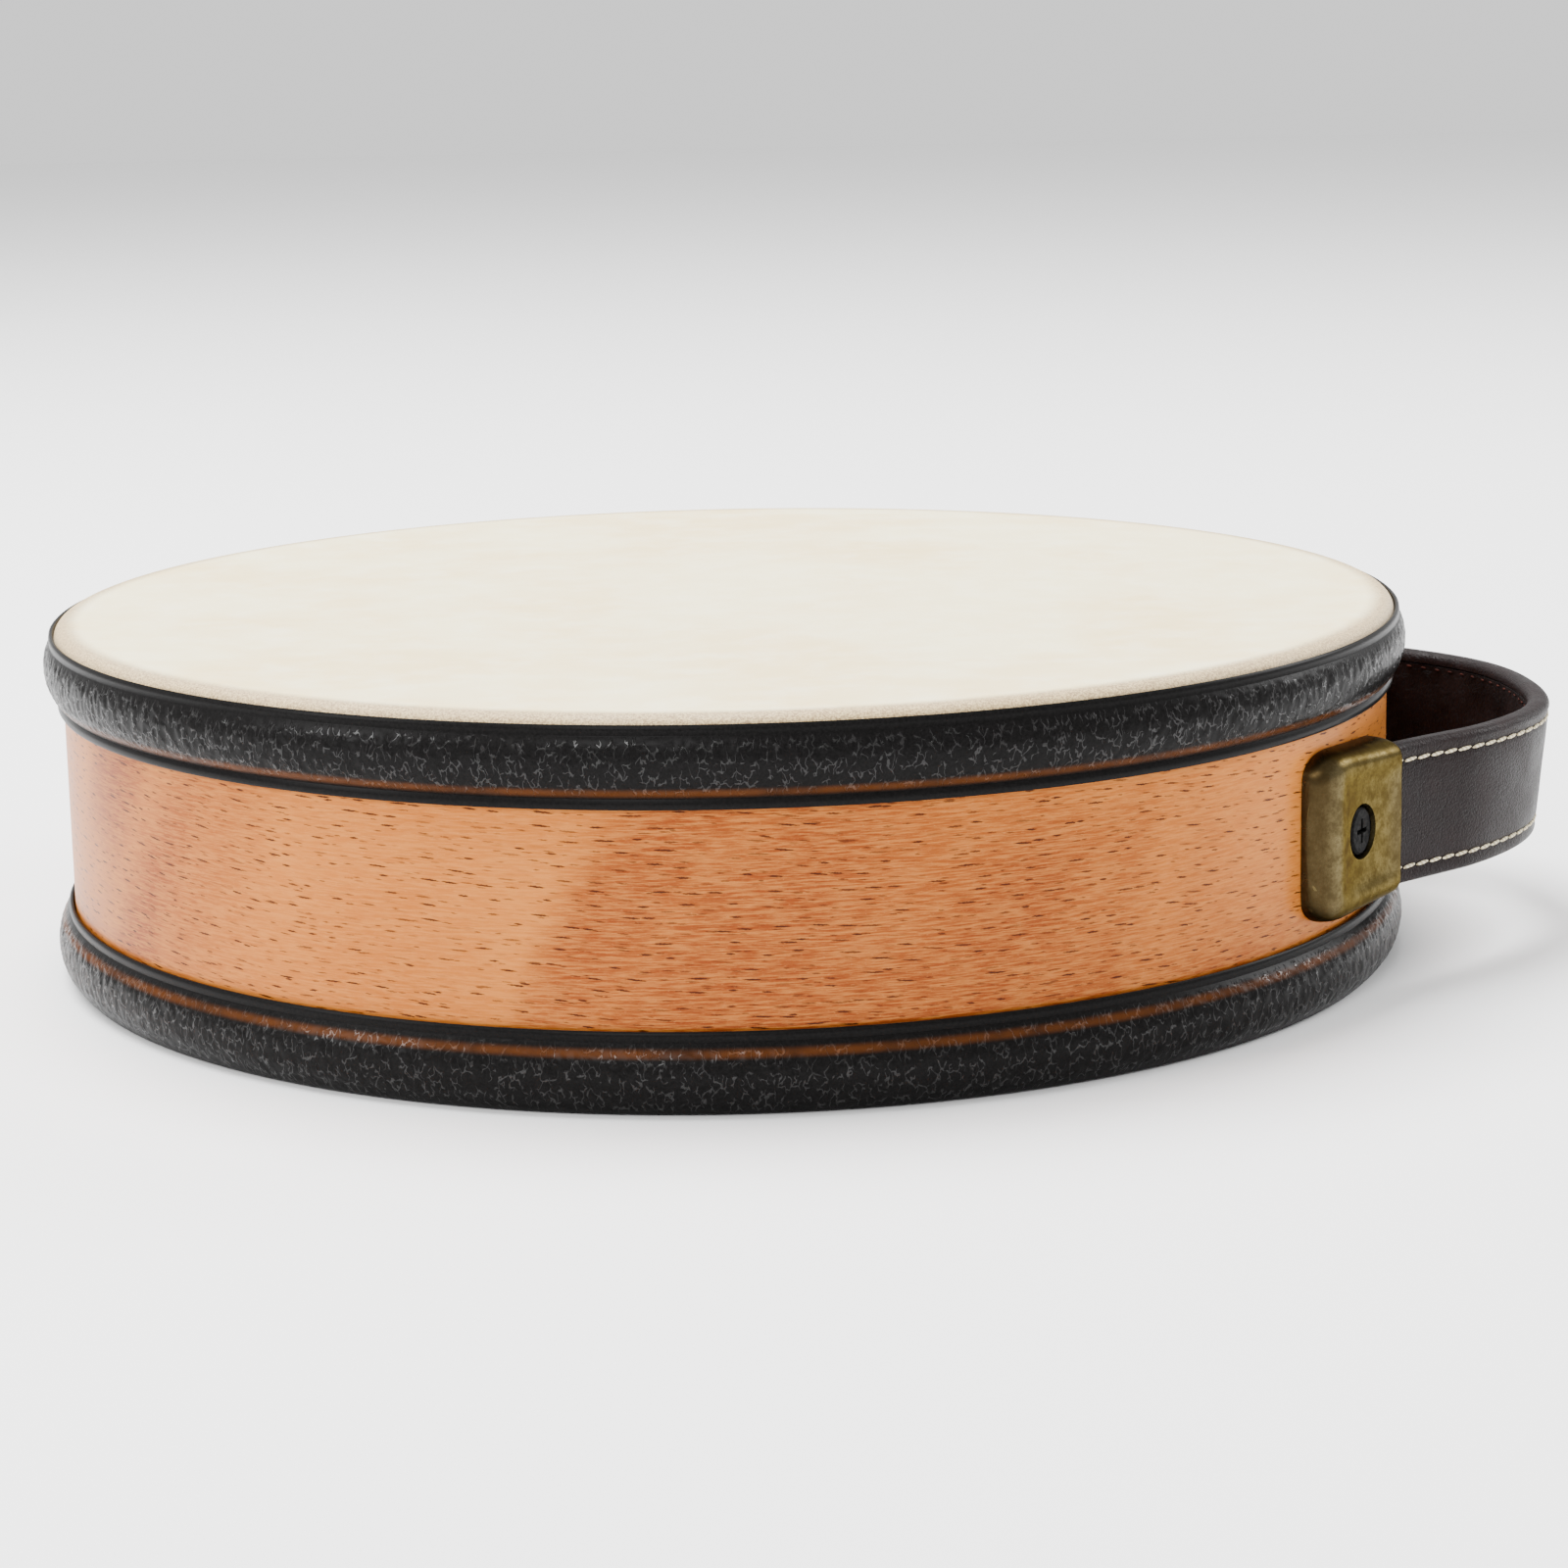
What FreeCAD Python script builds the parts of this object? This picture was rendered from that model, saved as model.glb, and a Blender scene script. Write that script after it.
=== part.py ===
import FreeCAD, Part
import math
import os

import Sketcher
from FreeCAD import Placement, Rotation, Vector

# A hand drum with a stretched skin, two moulded rim bands and a leather carrying handle.
# Origin: the drum's axis at the plane it stands on. +Z is up through the skin, +X towards the handle.

SIZES = {
    # shell, a steam-bent beech hoop
    "shell_radius": 126,
    "shell_wall": 6,
    "wood_below": 2.6,
    "wood_above": 3.2,
    # skin, stretched over the hoop and glued down its outside
    "skin_thickness": 1.2,
    "skin_hem_gap": 0.3,
    "skin_roll": 1.1,
    # moulded rim bands
    "rim_height": 14.3,
    "rim_bulge": 3.8,
    "rim_lip": 0.9,
    "rim_foot": 1.5,
    "rim_drop": 1.3,
    "rim_grip": 1.5,
    "seat_gap": 0.05,
    # handle
    "strap_width": 26,
    "strap_thickness": 4.3,
    "leather_thickness": 1.1,
    "backing_thickness": 2,
    "strap_gap": 0.2,
    "flank_reach": 10.8,
    "flank_spread": 43.6,
    "shoulder_reach": 23.5,
    "shoulder_spread": 27.6,
    "apex_reach": 29.3,
    "apex_spread": 11.5,
    "mouth_bend": 18,
    "mouth_bend_place": 10,
    "tab_length": 8,
    "flex_gap": 1.5,
    "flex_clearance": 0.3,
    "stitch_length": 2.7,
    "stitch_pitch": 3.6,
    "stitch_width": 0.7,
    "stitch_inset": 2.6,
    # brackets that clamp the strap's ends
    "bracket_spread": 69.4,
    "bracket_wall": 2.5,
    "bracket_back": 13,
    "bracket_ridge": 9.5,
    "bracket_front": 13.6,
    "bracket_round": 3,
    "bracket_skin": 1.8,
    "slot_gap": 0.15,
    "mouth_gap": 0.084,
    # screws, washers and nuts
    "screw_radius": 2,
    "head_radius": 4.25,
    "head_thickness": 1.6,
    "head_recess": 1,
    "head_gap": 0.75,
    "hole_gap": 0.15,
    "cross_length": 4.4,
    "cross_width": 0.9,
    "cross_depth": 1.1,
    "washer_radius": 5,
    "washer_thickness": 1,
    "nut_flats": 7,
    "nut_thickness": 3.2,
    "screw_tail": 0.8,
}

FULL_TURN = 360
BEYOND = 40            # how far a cut runs past what it cuts
MERGE = 1e-7

doc = FreeCAD.newDocument("HandDrum")
sheet = doc.addObject("Spreadsheet::Sheet", "Sizes")
for row, (alias, number) in enumerate(SIZES.items(), start=1):
    sheet.set(f"A{row}", alias)
    sheet.set(f"B{row}", str(number))
    sheet.setAlias(f"B{row}", alias)
doc.recompute()

parts = []


def value(expression):
    """The number that an expression on the sheet comes to."""
    result = sheet.evalExpression(str(expression))
    return float(getattr(result, "Value", result))


def size(name):
    """A size on the sheet, as it is written in an expression."""
    return f"Sizes.{name}"


# Heights and radii that several pieces share, as expressions on the sheet. From the ground up: the lower rim,
# bare wood, the bracket's height with the strap at its middle, bare wood and the upper rim.
BRACKET_HEIGHT = f"({size('strap_width')} + 2 * {size('bracket_wall')})"
HANDLE_HEIGHT = f"({size('rim_height')} + {size('wood_below')} + {BRACKET_HEIGHT} / 2)"
UPPER_RIM_FOOT = f"({HANDLE_HEIGHT} + {BRACKET_HEIGHT} / 2 + {size('wood_above')})"
RIM_TOP = f"({UPPER_RIM_FOOT} + {size('rim_height')})"
DRUM_HEIGHT = f"({RIM_TOP} + {size('rim_drop')})"
SHELL_INNER = f"({size('shell_radius')} - {size('shell_wall')})"
SHELL_TOP = f"({DRUM_HEIGHT} - {size('skin_thickness')} - {size('seat_gap')})"
SHELL_FOOT = f"({size('rim_foot')} + {size('seat_gap')})"
SEAT_RADIUS = f"({size('shell_radius')} + {size('seat_gap')})"
SKIN_RADIUS = f"({SEAT_RADIUS} + {size('skin_thickness')})"
BRACKET_ANGLE = f"asin({size('bracket_spread')} / {size('shell_radius')})"


def origin_plane(body, role):
    """One of the body's own origin planes."""
    return next(feature for feature in body.Origin.OriginFeatures if feature.Role == role)


def new_body(label, lift="0", angle="0"):
    """A body raised by lift and turned about the drum's axis by angle."""
    body = doc.addObject("PartDesign::Body", "Body_" + label)
    body.Label = label
    body.Placement = Placement(Vector(0, 0, 0), Rotation(Vector(0, 0, 1), 0))
    body.setExpression("Placement.Base.z", lift)
    body.setExpression("Placement.Rotation.Angle", angle)
    parts.append(body)
    return body


def new_sketch(body, name, role="XY_Plane", offset="0", turn=None):
    """A sketch on one of the body's origin planes, moved along its normal or turned about its upright."""
    sketch = body.newObject("Sketcher::SketchObject", name)
    sketch.AttachmentSupport = [(origin_plane(body, role), "")]
    sketch.MapMode = "FlatFace"
    if turn:
        sketch.AttachmentOffset = Placement(Vector(0, 0, 0), Rotation(Vector(0, 1, 0), 1))
        sketch.setExpression("AttachmentOffset.Rotation.Angle", turn)
    sketch.setExpression("AttachmentOffset.Base.z", offset)
    return sketch


def pin_point(sketch, edge, end, across, up):
    """Binds one end of a sketch line or arc to a place given by two expressions."""
    for kind, align, expression in (("DistanceX", "Vertical", across), ("DistanceY", "Horizontal", up)):
        number = value(expression)
        if abs(number) < MERGE:
            sketch.addConstraint(Sketcher.Constraint(align, -1, 1, edge, end))
            continue
        index = sketch.addConstraint(Sketcher.Constraint(kind, -1, 1, edge, end, number))
        sketch.setExpression(f"Constraints[{index}]", str(expression))


def outline(sketch, corners):
    """A closed outline. Each corner is (across, up), and (across, up, radius) starts an arc to the next one:
    a positive radius bulges to the right of the way the outline runs, a negative one to the left."""
    places = [Vector(value(corner[0]), value(corner[1]), 0) for corner in corners]
    for index, corner in enumerate(corners):
        start = places[index]
        end = places[(index + 1) % len(places)]
        if len(corner) == 2:
            sketch.addGeometry(Part.LineSegment(start, end), False)
            continue
        radius = value(corner[2])
        middle = (start + end) * 0.5
        along = end - start
        right = Vector(along.y, -along.x, 0).normalize() * math.copysign(1, radius)
        half = along.Length / 2
        sag = abs(radius) - math.sqrt(radius * radius - half * half)
        sketch.addGeometry(Part.Arc(start, middle + right * sag, end), False)
    for index, corner in enumerate(corners):
        # an arc is always stored anticlockwise, so its first point may be either end
        edge = sketch.Geometry[index]
        first = 1 if edge.StartPoint.isEqual(places[index], MERGE * 100) else 2
        pin_point(sketch, index, first, corner[0], corner[1])
        following = (index + 1) % len(corners)
        after = sketch.Geometry[following]
        joins = 1 if after.StartPoint.isEqual(places[following], MERGE * 100) else 2
        sketch.addConstraint(Sketcher.Constraint("Coincident", index, 3 - first, following, joins))
        if len(corner) == 3:
            number = sketch.addConstraint(Sketcher.Constraint("Radius", index, abs(value(corner[2]))))
            sketch.setExpression(f"Constraints[{number}]", f"abs({corner[2]})")


def circle(sketch, radius):
    """A circle round the sketch's origin."""
    edge = sketch.addGeometry(Part.Circle(Vector(0, 0, 0), Vector(0, 0, 1), value(radius)), False)
    sketch.addConstraint(Sketcher.Constraint("Coincident", edge, 3, -1, 1))
    index = sketch.addConstraint(Sketcher.Constraint("Radius", edge, value(radius)))
    sketch.setExpression(f"Constraints[{index}]", str(radius))


def revolve(body, sketch, axis, kind="PartDesign::Revolution"):
    """A full turn of the sketch about one of its own axes."""
    feature = body.newObject(kind, sketch.Name + "_turned")
    feature.Profile = sketch
    feature.ReferenceAxis = (sketch, [axis])
    feature.Angle = FULL_TURN
    doc.recompute()
    return feature


def pad(body, sketch, length, both_ways=False):
    """The sketch made solid along its normal."""
    feature = body.newObject("PartDesign::Pad", sketch.Name + "_pad")
    feature.Profile = sketch
    feature.SideType = "Symmetric" if both_ways else "One side"
    feature.setExpression("Length", length)
    doc.recompute()
    return feature


def pocket(body, sketch, length, both_ways=False, forward=False):
    """A cut along the sketch's normal. It has to take something away."""
    before = body.Shape.Volume
    feature = body.newObject("PartDesign::Pocket", sketch.Name + "_cut")
    feature.Profile = sketch
    feature.SideType = "Symmetric" if both_ways else "One side"
    feature.Reversed = forward
    feature.setExpression("Length", length)
    doc.recompute()
    if body.Shape.Volume > before - MERGE:
        raise RuntimeError(f"{body.Label}: {feature.Name} cuts nothing")
    return feature


# ---------------------------------------------------------------- drum: shell, skin and rims

def make_shell():
    """The bent hoop, drilled for the two handle screws."""
    body = new_body("shell")
    section = new_sketch(body, "shell_section", "XZ_Plane")
    outline(section, [
        (SHELL_INNER, SHELL_FOOT),
        (size("shell_radius"), SHELL_FOOT),
        (size("shell_radius"), SHELL_TOP),
        (SHELL_INNER, SHELL_TOP),
    ])
    revolve(body, section, "V_Axis")
    for name, sign in (("front", "-"), ("rear", "")):
        hole = new_sketch(body, f"shell_hole_{name}", "YZ_Plane", turn=f"{sign}{BRACKET_ANGLE}")
        edge = hole.addGeometry(Part.Circle(Vector(0, value(HANDLE_HEIGHT), 0), Vector(0, 0, 1),
                                            value(f"{size('screw_radius')} + {size('hole_gap')}")), False)
        pin_point(hole, edge, 3, "0", HANDLE_HEIGHT)
        index = hole.addConstraint(Sketcher.Constraint("Radius", edge, hole.Geometry[edge].Radius))
        hole.setExpression(f"Constraints[{index}]", f"{size('screw_radius')} + {size('hole_gap')}")
        pocket(body, hole, f"{size('shell_radius')} + {BEYOND}", forward=True)


def make_skin():
    """The stretched skin: a flat head with a rounded edge and a skirt glued down the hoop."""
    body = new_body("drum_skin")
    section = new_sketch(body, "skin_section", "XZ_Plane")
    top = DRUM_HEIGHT
    under = f"({top} - {size('skin_thickness')})"
    hem = f"({UPPER_RIM_FOOT} + 2 * {size('rim_grip')} + {size('skin_hem_gap')})"
    outline(section, [
        ("0", under),
        (SEAT_RADIUS, under),
        (SEAT_RADIUS, hem),
        (SKIN_RADIUS, hem),
        (SKIN_RADIUS, f"{top} - {size('skin_roll')}", size("skin_roll")),
        (f"{SKIN_RADIUS} - {size('skin_roll')}", top),
        ("0", top),
    ])
    revolve(body, section, "V_Axis")


def make_upper_rim():
    """The upper band: a moulded channel over the skin's skirt, with a thin lip standing at each edge."""
    body = new_body("upper_rim")
    section = new_sketch(body, "upper_rim_section", "XZ_Plane")
    inside = f"({SKIN_RADIUS} + {size('seat_gap')})"
    foot = UPPER_RIM_FOOT
    outline(section, [
        (inside, RIM_TOP),
        (inside, f"{foot} + 2 * {size('rim_grip')}"),
        (SEAT_RADIUS, f"{foot} + {size('rim_grip')}"),
        (SEAT_RADIUS, foot),
        (f"{SEAT_RADIUS} + {size('rim_lip')}", foot),
        (f"{SEAT_RADIUS} + {size('rim_lip')}", f"{foot} + {size('rim_lip')}",
         f"{size('rim_height')} * {size('rim_height')}"
         f" / (8 * ({size('rim_bulge')} - 1.5 * {size('rim_lip')}))"
         f" + {size('rim_bulge')} / 2"),
        (f"{inside} + {size('rim_lip')}", f"{RIM_TOP} - {size('rim_lip')}"),
        (f"{inside} + {size('rim_lip')}", RIM_TOP),
    ])
    revolve(body, section, "V_Axis")


def make_lower_rim():
    """The lower band: a moulded angle under the hoop's edge. Its flat foot is what the drum stands on."""
    body = new_body("lower_rim")
    section = new_sketch(body, "lower_rim_section", "XZ_Plane")
    lip = f"({SEAT_RADIUS} + {size('rim_lip')})"
    foot_edge = f"({size('shell_radius')} + {size('rim_lip')})"
    outline(section, [
        (SHELL_INNER, "0"),
        (foot_edge, "0",
         f"{size('rim_height')} * {size('rim_height')} / (8 * ({size('rim_bulge')} - {size('rim_lip')}))"
         f" + {size('rim_bulge')} / 2"),
        (lip, f"{size('rim_height')} - {size('rim_lip')}"),
        (lip, size("rim_height")),
        (SEAT_RADIUS, size("rim_height")),
        (SEAT_RADIUS, size("rim_foot")),
        (SHELL_INNER, size("rim_foot")),
    ])
    revolve(body, section, "V_Axis")


# ---------------------------------------------------------------- brackets and their fasteners
# Each is drawn in its own frame: X out of the drum through the screw, Y along the hoop, Z up from the
# handle's middle. way is 1 for the front bracket, whose mouth faces +Y, and -1 for its mirror at the rear.

FACE = f"({size('shell_radius')} + {size('strap_gap')} + {size('strap_thickness')} + {size('bracket_skin')})"
HEAD_TOP = f"({FACE} - {size('head_recess')})"
HEAD_SEAT = f"({HEAD_TOP} - {size('head_thickness')})"
TAB_OUT = f"({size('shell_radius')} + {size('strap_gap')} + {size('backing_thickness')})"
TAB_MIDDLE = f"({size('shell_radius')} + {size('strap_gap')} + {size('strap_thickness')} / 2)"
WASHER_OUT = (f"(sqrt({SHELL_INNER} * {SHELL_INNER} - {size('washer_radius')} * {size('washer_radius')})"
              f" - {size('seat_gap')})")
NUT_OUT = f"({WASHER_OUT} - {size('washer_thickness')} - {size('seat_gap')})"
MOUTH_STEP = f"({size('mouth_bend_place')} - {size('mouth_bend')} / 4 - 1)"



# How far the strap turns away from the hoop at its bend in the mouth, and how far out its outer face then is
# where it leaves the bracket. The bracket's face tilts to clear it.
BEND_X = (f"({TAB_MIDDLE} * cos({BRACKET_ANGLE})"
          f" + {size('mouth_bend_place')} * sin({BRACKET_ANGLE}))")
BEND_Y = (f"({size('mouth_bend_place')} * cos({BRACKET_ANGLE})"
          f" - {TAB_MIDDLE} * sin({BRACKET_ANGLE}))")
FLANK_HEADING = (f"atan2(-{size('flank_spread')} - {BEND_Y};"
                 f" {size('shell_radius')} + {size('flank_reach')} - {BEND_X})")
MOUTH_TURN = f"(90 deg - {BRACKET_ANGLE} - {FLANK_HEADING})"
MOUTH_OUT = (f"({TAB_MIDDLE} + {size('strap_thickness')} / (2 * cos({MOUTH_TURN}))"
             f" + ({size('bracket_front')} - {size('mouth_bend_place')}) * tan({MOUTH_TURN}))")
FACE_SLOPE = (f"(({MOUTH_OUT} + {size('mouth_gap')} + {size('bracket_skin')} - {FACE})"
              f" / {size('bracket_front')})")


def face_at(along):
    """How far out the bracket's tilted face is, at a place along it."""
    return f"({FACE} + ({along}) * {FACE_SLOPE})"


def hoop_at(along):
    """How far out the hoop's outside is, at a place along the bracket, with the seat's gap."""
    return f"sqrt({SEAT_RADIUS} * {SEAT_RADIUS} - ({along}) * ({along}))"


def edges_near(shape, wanted):
    """Names of the straight edges whose middles are at the wanted places."""
    names = []
    for index, edge in enumerate(shape.Edges, start=1):
        middle = edge.valueAt((edge.FirstParameter + edge.LastParameter) / 2)
        if any(middle.distanceToPoint(place) < 0.05 for place in wanted):
            names.append(f"Edge{index}")
    return names


def make_bracket(label, way):
    """A die-cast end cap: a pillow closed on three sides, open at the mouth where the strap comes out."""
    body = new_body(label, HANDLE_HEIGHT, f"{-way} * {BRACKET_ANGLE}")
    front = size("bracket_front")
    ridge = f"-{size('bracket_ridge')}"
    back = f"-{size('bracket_back')}"
    plan = new_sketch(body, label + "_plan")
    corners = [
        (face_at(front), front),
        (face_at(ridge), ridge),
        (hoop_at(back), back, SEAT_RADIUS),
        (hoop_at(front), front),
    ]
    outline(plan, mirrored(corners, way))
    cap = pad(body, plan, BRACKET_HEIGHT, both_ways=True)

    half = value(BRACKET_HEIGHT) / 2
    ridge_place = Vector(value(face_at(ridge)), way * value(ridge), 0)
    face_middle = f"({front} - {size('bracket_ridge')}) / 2"
    back_middle = f"-({size('bracket_ridge')} + {size('bracket_back')}) / 2"
    back_out = f"({face_at(ridge)} + {hoop_at(back)}) / 2"
    wanted = [ridge_place]
    for level in (-half, half):
        wanted.append(Vector(value(face_at(face_middle)), way * value(face_middle), level))
        wanted.append(Vector(value(back_out), way * value(back_middle), level))
    names = edges_near(cap.Shape, wanted)
    if len(names) != len(wanted):
        raise RuntimeError(f"{label}: found {len(names)} of {len(wanted)} edges to round")
    rounding = body.newObject("PartDesign::Fillet", label + "_round")
    rounding.Base = (cap, names)
    rounding.setExpression("Radius", size("bracket_round"))
    doc.recompute()

    # the strap's tab lies in a shallow slot, and the full strap comes out through a deeper mouth
    step = MOUTH_STEP
    past = f"({front} + {BEYOND})"
    slot = new_sketch(body, label + "_slot")
    slot_end = f"-({size('tab_length')} + {size('slot_gap')})"
    slot_out = f"({TAB_OUT} + {size('slot_gap')})"
    corners = [
        (SHELL_INNER, slot_end),
        (SHELL_INNER, past),
        (f"{face_at(past)} - {size('bracket_skin')}", past),
        (f"{face_at(step)} - {size('bracket_skin')}", step),
        (slot_out, step),
        (slot_out, slot_end),
    ]
    outline(slot, mirrored(corners, way))
    pocket(body, slot, f"{size('strap_width')} + 2 * {size('slot_gap')}", both_ways=True)

    # the screw's stepped hole: a round well for the head, then a clearance hole
    well = new_sketch(body, label + "_well")
    clearance = f"({size('screw_radius')} + {size('hole_gap')})"
    well_radius = f"({size('head_radius')} + {size('head_gap')})"
    outline(well, [
        (SHELL_INNER, "0"),
        (f"{FACE} + {BEYOND}", "0"),
        (f"{FACE} + {BEYOND}", well_radius),
        (HEAD_SEAT, well_radius),
        (HEAD_SEAT, clearance),
        (SHELL_INNER, clearance),
    ])
    before = body.Shape.Volume
    revolve(body, well, "H_Axis", "PartDesign::Groove")
    if body.Shape.Volume > before - MERGE:
        raise RuntimeError(f"{label}: the screw's hole cuts nothing")


def mirrored(corners, way):
    """Corners as drawn, or with the second coordinate turned over and the order kept turning the same way."""
    if way > 0:
        return corners
    flipped = [(corner[0], f"-({corner[1]})") for corner in corners]
    radii = [corner[2] if len(corner) == 3 else None for corner in corners]
    turned = []
    for index in range(len(corners) - 1, -1, -1):
        radius = radii[index - 1]
        turned.append(flipped[index] if radius is None else flipped[index] + (radius,))
    return turned


def make_screw(label, way):
    """A cross-head machine screw from the bracket's well through strap and hoop."""
    body = new_body(label, HANDLE_HEIGHT, f"{-way} * {BRACKET_ANGLE}")
    profile = new_sketch(body, label + "_profile")
    end = f"({NUT_OUT} - {size('nut_thickness')} - {size('screw_tail')})"
    outline(profile, [
        (end, "0"),
        (HEAD_TOP, "0"),
        (HEAD_TOP, f"{size('head_radius')} - {size('head_thickness')} / 4"),
        (f"{HEAD_TOP} - {size('head_thickness')} / 4", size("head_radius")),
        (HEAD_SEAT, size("head_radius")),
        (HEAD_SEAT, size("screw_radius")),
        (end, size("screw_radius")),
    ])
    revolve(body, profile, "H_Axis")
    long_half = f"{size('cross_length')} / 2"
    short_half = f"{size('cross_width')} / 2"
    cross = new_sketch(body, label + "_cross", "YZ_Plane", offset=HEAD_TOP)
    outline(cross, [
        (f"-{long_half}", f"-{short_half}"),
        (f"-{short_half}", f"-{short_half}"),
        (f"-{short_half}", f"-{long_half}"),
        (short_half, f"-{long_half}"),
        (short_half, f"-{short_half}"),
        (long_half, f"-{short_half}"),
        (long_half, short_half),
        (short_half, short_half),
        (short_half, long_half),
        (f"-{short_half}", long_half),
        (f"-{short_half}", short_half),
        (f"-{long_half}", short_half),
    ])
    pocket(body, cross, size("cross_depth"))


def make_washer(label, way):
    """A plain washer inside the drum."""
    body = new_body(label, HANDLE_HEIGHT, f"{-way} * {BRACKET_ANGLE}")
    ring = new_sketch(body, label + "_ring")
    hole = f"({size('screw_radius')} + {size('hole_gap')})"
    inner = f"{WASHER_OUT} - {size('washer_thickness')}"
    outline(ring, [
        (inner, hole),
        (WASHER_OUT, hole),
        (WASHER_OUT, size("washer_radius")),
        (inner, size("washer_radius")),
    ])
    revolve(body, ring, "H_Axis")


def make_nut(label, way):
    """A hexagon nut inside the drum."""
    body = new_body(label, HANDLE_HEIGHT, f"{-way} * {BRACKET_ANGLE}")
    hexagon = new_sketch(body, label + "_hexagon", "YZ_Plane", offset=NUT_OUT)
    corners = []
    for side in range(6):
        turn = side * FULL_TURN / 6 + 30
        reach = f"{size('nut_flats')} / 2 / cos(30)"
        corners.append((f"{reach} * cos({turn})", f"{reach} * sin({turn})"))
    outline(hexagon, corners)
    feature = pad(body, hexagon, size("nut_thickness"))
    feature.Reversed = True
    doc.recompute()
    hole = new_sketch(body, label + "_hole", "YZ_Plane", offset=NUT_OUT)
    circle(hole, f"{size('screw_radius')} + {size('seat_gap')}")
    pocket(body, hole, size("nut_thickness"))


# ---------------------------------------------------------------- strap
# The strap's middle line, seen from above, is straight runs joined by tangent arcs: along the hoop under
# the front bracket, out to the apex of the loop, and back the same way to the rear bracket.

def middle_line():
    """Corners of the strap's middle line from the front tab to the rear one, each with its arc's radius."""
    angle = math.radians(value(BRACKET_ANGLE))
    outward = Vector(math.cos(angle), -math.sin(angle), 0)
    onward = Vector(math.sin(angle), math.cos(angle), 0)
    radius = value(size("shell_radius"))
    screw = outward * value(TAB_MIDDLE)
    half = [screw - onward * value(size("tab_length")), screw + onward * value(size("mouth_bend_place"))]
    for name in ("flank", "shoulder", "apex"):
        half.append(Vector(radius + value(size(name + "_reach")), -value(size(name + "_spread")), 0))
    corners = half + [Vector(corner.x, -corner.y, 0) for corner in reversed(half)]
    runs = [(b - a).Length for a, b in zip(corners, corners[1:])]
    radii = [0]
    for index in range(1, len(corners) - 1):
        turn = (corners[index] - corners[index - 1]).getAngle(corners[index + 1] - corners[index])
        radii.append(0.45 * min(runs[index - 1], runs[index]) / math.tan(turn / 2))
    radii.append(0)
    radii[1] = radii[-2] = value(size("mouth_bend"))
    return corners, radii


def side_line(offset):
    """The middle line moved outwards by offset, as tangent lines and arcs."""
    corners, radii = middle_line()
    edges = []
    start = None
    for index in range(1, len(corners)):
        along = (corners[index] - corners[index - 1]).normalize()
        right = Vector(along.y, -along.x, 0)
        if start is None:
            start = corners[0] + right * offset
        if index == len(corners) - 1:
            edges.append(Part.LineSegment(start, corners[index] + right * offset))
            break
        onward = (corners[index + 1] - corners[index]).normalize()
        next_right = Vector(onward.y, -onward.x, 0)
        turn = along.getAngle(onward)
        bend = 1 if along.cross(onward).z > 0 else -1
        cut = radii[index] * math.tan(turn / 2)
        centre = corners[index] - along * cut - right * bend * radii[index]
        into = corners[index] - along * cut + right * offset
        away = corners[index] + onward * cut + next_right * offset
        middle = centre + (right + next_right).normalize() * bend * (radii[index] + bend * offset)
        edges.append(Part.LineSegment(start, into))
        edges.append(Part.Arc(into, middle, away))
        start = away
    return edges


def flex_axis():
    """How far along X the axis is that the loop flexes about, just clear of the bracket's mouths."""
    angle = math.radians(value(BRACKET_ANGLE))
    front = value(size("bracket_front"))
    mouth = value(face_at(front)) * math.cos(angle) + front * math.sin(angle)
    return mouth + value(size("flex_gap"))


def strip_solid(inner, outer, low, high):
    """A strip of the strap between two offsets from its middle line and two heights."""
    inside = [edge.toShape() for edge in side_line(inner)]
    outside = [edge.toShape() for edge in side_line(outer)]
    first = Part.makeLine(inside[0].Vertexes[0].Point, outside[0].Vertexes[0].Point)
    last = Part.makeLine(inside[-1].Vertexes[-1].Point, outside[-1].Vertexes[-1].Point)
    wire = Part.Wire(Part.__sortEdges__(inside + [last] + outside + [first]))
    face = Part.Face(wire)
    face.translate(Vector(0, 0, low))
    solid = face.extrude(Vector(0, 0, high - low))
    return solid


def flex_cutter(radius):
    """Everything on the drum's side of the flexing line: a half space with a round nose along Y."""
    axis = flex_axis()
    reach = value(size("shell_radius")) * 2
    middle = value(HANDLE_HEIGHT)
    nose = Part.makeCylinder(radius, 2 * reach, Vector(axis, -reach, middle), Vector(0, 1, 0))
    block = Part.makeBox(2 * reach, 2 * reach, 2 * reach, Vector(axis - 2 * reach, -reach, middle - reach))
    return block.fuse(nose)


def half_space(side):
    """The space on the front side (-1) or the rear side (1) of the drum's middle plane."""
    reach = value(size("shell_radius")) * 2
    low = -reach if side < 0 else 0
    return Part.makeBox(2 * reach, reach, 2 * reach, Vector(0, low, -reach))


def hook_trim(solid):
    """What is clear of the brackets' shallow slots: the core and outer leather end in the mouth."""
    angle = value(BRACKET_ANGLE)
    step = value(MOUTH_STEP) + value(size("slot_gap"))
    reach = value(size("shell_radius"))
    for way in (1, -1):
        low = step - reach if way > 0 else -step
        block = Part.makeBox(2 * reach, reach, 2 * reach, Vector(0, low, -reach))
        block.rotate(Vector(0, 0, 0), Vector(0, 0, 1), -way * angle)
        side = half_space(-way)
        solid = solid.cut(block.common(side))
    return solid


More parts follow.
